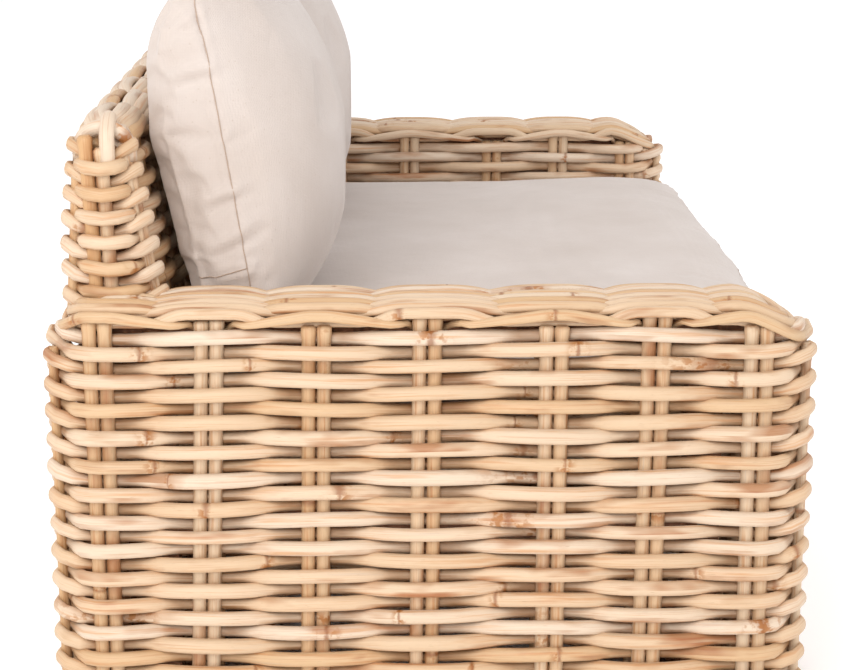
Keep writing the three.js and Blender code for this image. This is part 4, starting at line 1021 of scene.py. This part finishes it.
def stitch(block, curves):
    """Lays a line of sewing thread into each seam and joins it to the cushion."""
    threads = []
    for curve, closed in curves:
        if closed:
            curve = np.vstack([curve, curve[:1]])
        run = np.concatenate([[0], np.cumsum(np.linalg.norm(np.diff(curve, axis=0), axis=1))])
        count = int(run[-1] / (5 * MM))
        at = np.linspace(0, run[-1], count, endpoint=not closed)
        points = np.column_stack([np.interp(at, run, curve[:, k]) for k in range(3)])
        for _ in range(3):
            hits = [block.closest_point_on_mesh(Vector(place)) for place in points]
            points = np.array([hit[1] for hit in hits])
            normals = np.array([hit[2] for hit in hits])
            if closed:
                points = (np.roll(points, 1, 0) + 2 * points + np.roll(points, -1, 0)) / 4
        thread = Canes(f"{block.name}_thread", COTTON, sides=6)
        thread.add(points + normals * 0.7 * MM, normals, 0.65 * MM, 0.65 * MM, closed=closed)
        faces = thread.faces[0].tolist() + [cap.tolist() for cap in thread.caps]
        # The thread is marked seam, and the cloth colours it darker there as painted shade.
        threads.append(new_piece(thread.name, thread.verts[0], faces, len(faces),
                                 {"seam": np.ones(len(thread.verts[0]))}))
    layer = block.data.attributes.new("seam", "FLOAT", "POINT")
    layer.data.foreach_set("value", np.zeros(len(block.data.vertices)))
    only(block)
    for thread in threads:
        thread.select_set(True)
    bpy.ops.object.join()


def finish_cushion(block, node):
    block.data.materials.clear()
    block.data.materials.append(COTTON)
    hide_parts(node)
    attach(block, node)


def round_square(a, b, power):
    """Moves points of a square onto a rounded one, the squarer the higher the power."""
    reach = np.maximum(np.abs(a), np.abs(b))
    size = (np.abs(a) ** power + np.abs(b) ** power) ** (1 / power)
    scale = np.where(size > 1e-9, reach / np.maximum(size, 1e-9), 1)
    return a * scale, b * scale


def rounded_ring(count, power):
    """Points once round such a square."""
    t = np.linspace(0, 2 * math.pi, count)
    a, b = np.cos(t), np.sin(t)
    reach = (np.abs(a) ** power + np.abs(b) ** power) ** (-1 / power)
    return a * reach, b * reach


seat_lo, seat_hi = (np.array(v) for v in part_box("seat_cushion"))
SEAT_CROWN = 9 * MM
SEAT_SLACK = 9 * MM  # of the space in front of it
SEAT_FULLER = 12 * MM  # towards its front
SEAT_EDGE = 16 * MM  # how far the top is rounded off towards its seam
SEAT_POWER = 9
seat_lo[1] += SEAT_SLACK

# The seat cushion: boxed, with a seam round its top and its bottom face.
seat = cushion_block("seat_cushion_cover")
p = coordinates(seat.data)
a, b = round_square(p[:, 0], p[:, 1], SEAT_POWER)
size = (seat_hi - seat_lo) / 2
mid = (seat_hi + seat_lo) / 2
edge_top = seat_hi[2] - SEAT_CROWN - seat_lo[2]
full = np.clip(1 - np.abs(a) ** 4, 0, 1) ** 0.5 * np.clip(1 - np.abs(b) ** 4, 0, 1) ** 0.5
up = (p[:, 2] + 1) / 2
thick = edge_top - SEAT_EDGE + (SEAT_EDGE + SEAT_CROWN - 2 * MM) * full
thick = thick + SEAT_FULLER * smooth(-b / 0.75) * np.sqrt(full)
seat_hi[2] += SEAT_FULLER
bulge = 1 + 0.004 * np.sin(math.pi * up)
set_coordinates(seat.data, np.column_stack([
    mid[0] + a * (size[0] - 7 * MM) * bulge,
    mid[1] + b * (size[1] - 7 * MM) * bulge,
    seat_lo[2] + 6 * MM * (1 - full) * (1 - up) + up * thick]))
puff(seat, cap=9 * MM, pressure=3.0, frames=14, levels=0)
settle(seat, seat_lo, seat_hi)
a, b = rounded_ring(240, SEAT_POWER)
x, y = mid[0] + a * (size[0] - 4 * MM), mid[1] + b * (size[1] - 4 * MM)
rings = [np.column_stack([x, y, np.full(240, z)])
         for z in (seat_lo[2] + edge_top - 14 * MM, seat_lo[2] + 14 * MM)]
sew(seat, rings)
settle(seat, seat_lo, seat_hi)
stitch(seat, [(ring[:-1], True) for ring in rings])
finish_cushion(seat, "seat_cushion")

# The back cushions: boxed behind, full in front, slumped a little into the corners.
PILLOW_CROWN = 121 * MM
PILLOW_SLACK = 14 * MM  # of the space in front of it
PILLOW_POWER = 7
WAIST = (10 * MM, 5 * MM)  # how far the sides and the top and bottom are drawn in between the corners
# Folds across the seam of the side that is seen, as (Y, Z) from the middle of the arms, in mm.
FOLDS = (((291, 865), (242, 877)), ((237, 733), (194, 754)), ((269, 653), (210, 675)),
         ((247, 603), (190, 632)), ((183, 610), (157, 632)), ((300, 800), (250, 812)),
         ((230, 820), (190, 850)))
STRIP_JOINT = ((287, 566), (272, 568), (254, 570), (236, 576), (214, 583))
for node, sx in (("left_back_cushion", -1), ("right_back_cushion", 1)):
    lo, hi = (np.array(v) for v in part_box(node))
    size, mid = (hi - lo) / 2, (hi + lo) / 2
    outer = mid[0] + sx * size[0]

    def on_side(y, z):
        return (outer, y * MM + arms_middle, z * MM)

    def rear_at(z):
        # Over the back the cushion is rounded off towards its top, and a little towards its foot.
        off = np.clip(z - 815 * MM, 0, None) / (81 * MM)
        top = np.where(off < 1, off ** 2, 2 * off - 1) * 31 * MM
        foot = 7 * MM * smooth((737 * MM - z) / (140 * MM)) + 6 * MM * smooth((594 * MM - z) / (34 * MM))
        return back_front(np.minimum(z, back_top)) - 0.6 * MM - top - foot

    def strip_at(z):
        """Width of the strip between the two faces, down to the seam round the front."""
        over = z / MM - 563
        seam_at = arms_middle + (213 + 0.145 * over + 0.00008 * over ** 2) * MM
        return np.maximum(rear_at(z) - seam_at, 26 * MM)

    def face(a, b, inset_x, inset_z):
        """X and Z of places on the cushion's face, whose sides are drawn in between its corners."""
        x = mid[0] + a * (size[0] - inset_x) - np.sign(a) * WAIST[0] * np.abs(a) ** 3 * (1 - b ** 2)
        z = mid[2] + b * (size[2] - inset_z) - np.sign(b) * WAIST[1] * np.abs(b) ** 3 * (1 - a ** 2)
        return x, z

    pillow = cushion_block(f"{node}_cover")
    p = coordinates(pillow.data)
    a, b = round_square(p[:, 0], p[:, 2], PILLOW_POWER)
    front = (1 - p[:, 1]) / 2
    full = np.clip(1 - np.abs(a) ** 2.6, 0, 1) ** 0.62
    full = full * np.clip(1 - np.abs(b) ** 2.1, 0, 1) ** np.where(b > 0, 1.0, 0.6)
    # The filling of one cushion has sunk: it is fullest below its middle.
    low_full = full * (1.0 - (0.10 if sx > 0 else 0.02) * b)
    x, z = face(a, b, 9 * MM, 4 * MM)
    depth = front * (strip_at(z) + PILLOW_CROWN * low_full)
    set_coordinates(pillow.data, np.column_stack([x, rear_at(z) - 6 * MM * (1 - front) - depth, z]))
    lo[1] -= PILLOW_SLACK
    puff(pillow, cap=14 * MM, pressure=4.0, frames=18, levels=1)
    settle(pillow, lo, hi, rear=rear_at)
    ring_x, ring_z = face(*rounded_ring(260, PILLOW_POWER), 4 * MM, 2 * MM)
    ring = np.column_stack([ring_x, rear_at(ring_z) - strip_at(ring_z), ring_z])
    # The strip is pieced together near its foot.
    joint = np.array([on_side(y, z) for y, z in STRIP_JOINT])
    sew(pillow, [ring, joint])
    fold(pillow, [(on_side(*start), on_side(*end), 9 * MM, 3.2 * MM) for start, end in FOLDS])
    settle(pillow, lo, hi, rear=rear_at)
    stitch(pillow, [(ring, True), (joint, False)])
    finish_cushion(pillow, node)

# Carried-over nodes

for name, o in NODES.items():
    if any(word in name for word in ("post", "rail", "slat", "beam", "ledger", "leg", "block")):
        finish_of = HARDWOOD
    elif "glide" in name:
        finish_of = NYLON
    elif "bolt" in name:
        finish_of = STEEL
    else:
        continue
    for socket in o.material_slots:
        socket.material = finish_of

# Photo set

deselect()
FLOOR_X = 2.5
FLOOR_GLOW = 0.2
bpy.ops.mesh.primitive_plane_add(size=14, location=(FLOOR_X, 0, 0))
floor = bpy.context.object
floor.name = "pale_floor"
floor_material, floor_tree, floor_shader = blank_material("matte_paper_floor")
floor_shader.inputs["Base Color"].default_value = linear("#FFFFFF")
floor_shader.inputs["Roughness"].default_value = 0.9
# Painted light: the floor glows white beside the sofa, so that it stays white round the sofa, but not under
# it.
floor_where = add_node(floor_tree, "ShaderNodeTexCoord")
floor_apart = add_node(floor_tree, "ShaderNodeSeparateXYZ", links={"Vector": (floor_where, "Object")})
sides = []
for axis, offset, edge in (("X", FLOOR_X, 0.74), ("Y", 0.0, 0.45)):
    moved = add_node(floor_tree, "ShaderNodeMath", {"operation": "ADD"}, {1: offset},
                     {0: (floor_apart, axis)})
    away = add_node(floor_tree, "ShaderNodeMath", {"operation": "ABSOLUTE"}, links={0: (moved, "Value")})
    sides.append(add_node(floor_tree, "ShaderNodeMapRange",
                          inputs={"From Min": edge, "From Max": edge + 0.06},
                          links={"Value": (away, "Value")}))
beside = add_node(floor_tree, "ShaderNodeMath", {"operation": "MAXIMUM"},
                  links={0: (sides[0], "Result"), 1: (sides[1], "Result")})
glow = add_node(floor_tree, "ShaderNodeMath", {"operation": "MULTIPLY"}, {1: FLOOR_GLOW},
                {0: (beside, "Value")})
floor_shader.inputs["Emission Color"].default_value = linear("#FFFFFF")
floor_tree.links.new(glow.outputs["Value"], floor_shader.inputs["Emission Strength"])
floor.data.materials.append(floor_material)

world = bpy.data.worlds.new("studio")
bpy.context.scene.world = world
world.use_nodes = True
tree = world.node_tree
tree.nodes.clear()
# Plain white where it is seen, also in a reflection, and a little less for its light.
path = add_node(tree, "ShaderNodeLightPath")
seen = add_node(tree, "ShaderNodeMath", {"operation": "MAXIMUM"},
                links={0: (path, "Is Camera Ray"), 1: (path, "Is Glossy Ray")})
seen_all = add_node(tree, "ShaderNodeMath", {"operation": "MAXIMUM"},
                    links={0: (seen, "Value"), 1: (path, "Is Transmission Ray")})
fill = add_node(tree, "ShaderNodeBackground", inputs={"Color": linear("#FCFAFA"), "Strength": 0.94})
white = add_node(tree, "ShaderNodeBackground", inputs={"Color": (1, 1, 1, 1), "Strength": 1.0})
mixed = add_node(tree, "ShaderNodeMixShader",
                 links={0: (seen_all, "Value"), 1: (fill, "Background"), 2: (white, "Background")})
add_node(tree, "ShaderNodeOutputWorld", links={"Surface": (mixed, "Shader")})


def softbox(name, place, target, size, power, colour):
    deselect()
    bpy.ops.object.light_add(type="AREA", location=place)
    lamp = bpy.context.object
    lamp.name = name
    lamp.data.shape = "RECTANGLE"
    lamp.data.size, lamp.data.size_y = size
    lamp.data.energy = power
    lamp.data.color = linear(colour)[:3]
    lamp.rotation_euler = (Vector(target) - Vector(place)).to_track_quat("-Z", "Y").to_euler()


softbox("key_softbox", (-3.0, 0.9, 2.0), (-0.6, 0.1, 0.6), (1.4, 1.4), 46, "#FFFBF6")
softbox("front_fill", (-0.8, -3.2, 2.6), (0, 0, 0.5), (2.0, 1.6), 22, "#FFFFFF")
softbox("back_fill", (0.5, 2.6, 1.8), (0, 0, 0.7), (1.8, 1.2), 10, "#FFFFFF")

# The camera stands off the left arm, a little towards the front, and looks down along the sofa.
pitch, yaw = math.radians(13.90), math.radians(1.374)
look = Vector((math.cos(yaw) * math.cos(pitch), -math.sin(yaw) * math.cos(pitch), -math.sin(pitch)))
right = Vector((-math.sin(yaw), -math.cos(yaw), 0))
up = right.cross(look)
camera = bpy.data.objects.new("camera", bpy.data.cameras.new("camera"))
bpy.context.scene.collection.objects.link(camera)
turn = Matrix((right, up, -look)).transposed().to_4x4()
camera.matrix_world = Matrix.Translation((-3.089, arms_middle + 0.059, 1.112)) @ turn
camera.data.sensor_width = 36
camera.data.lens = 89.8
camera.data.clip_end = 30
bpy.context.scene.camera = camera
bpy.context.scene.view_settings.view_transform = "Standard"
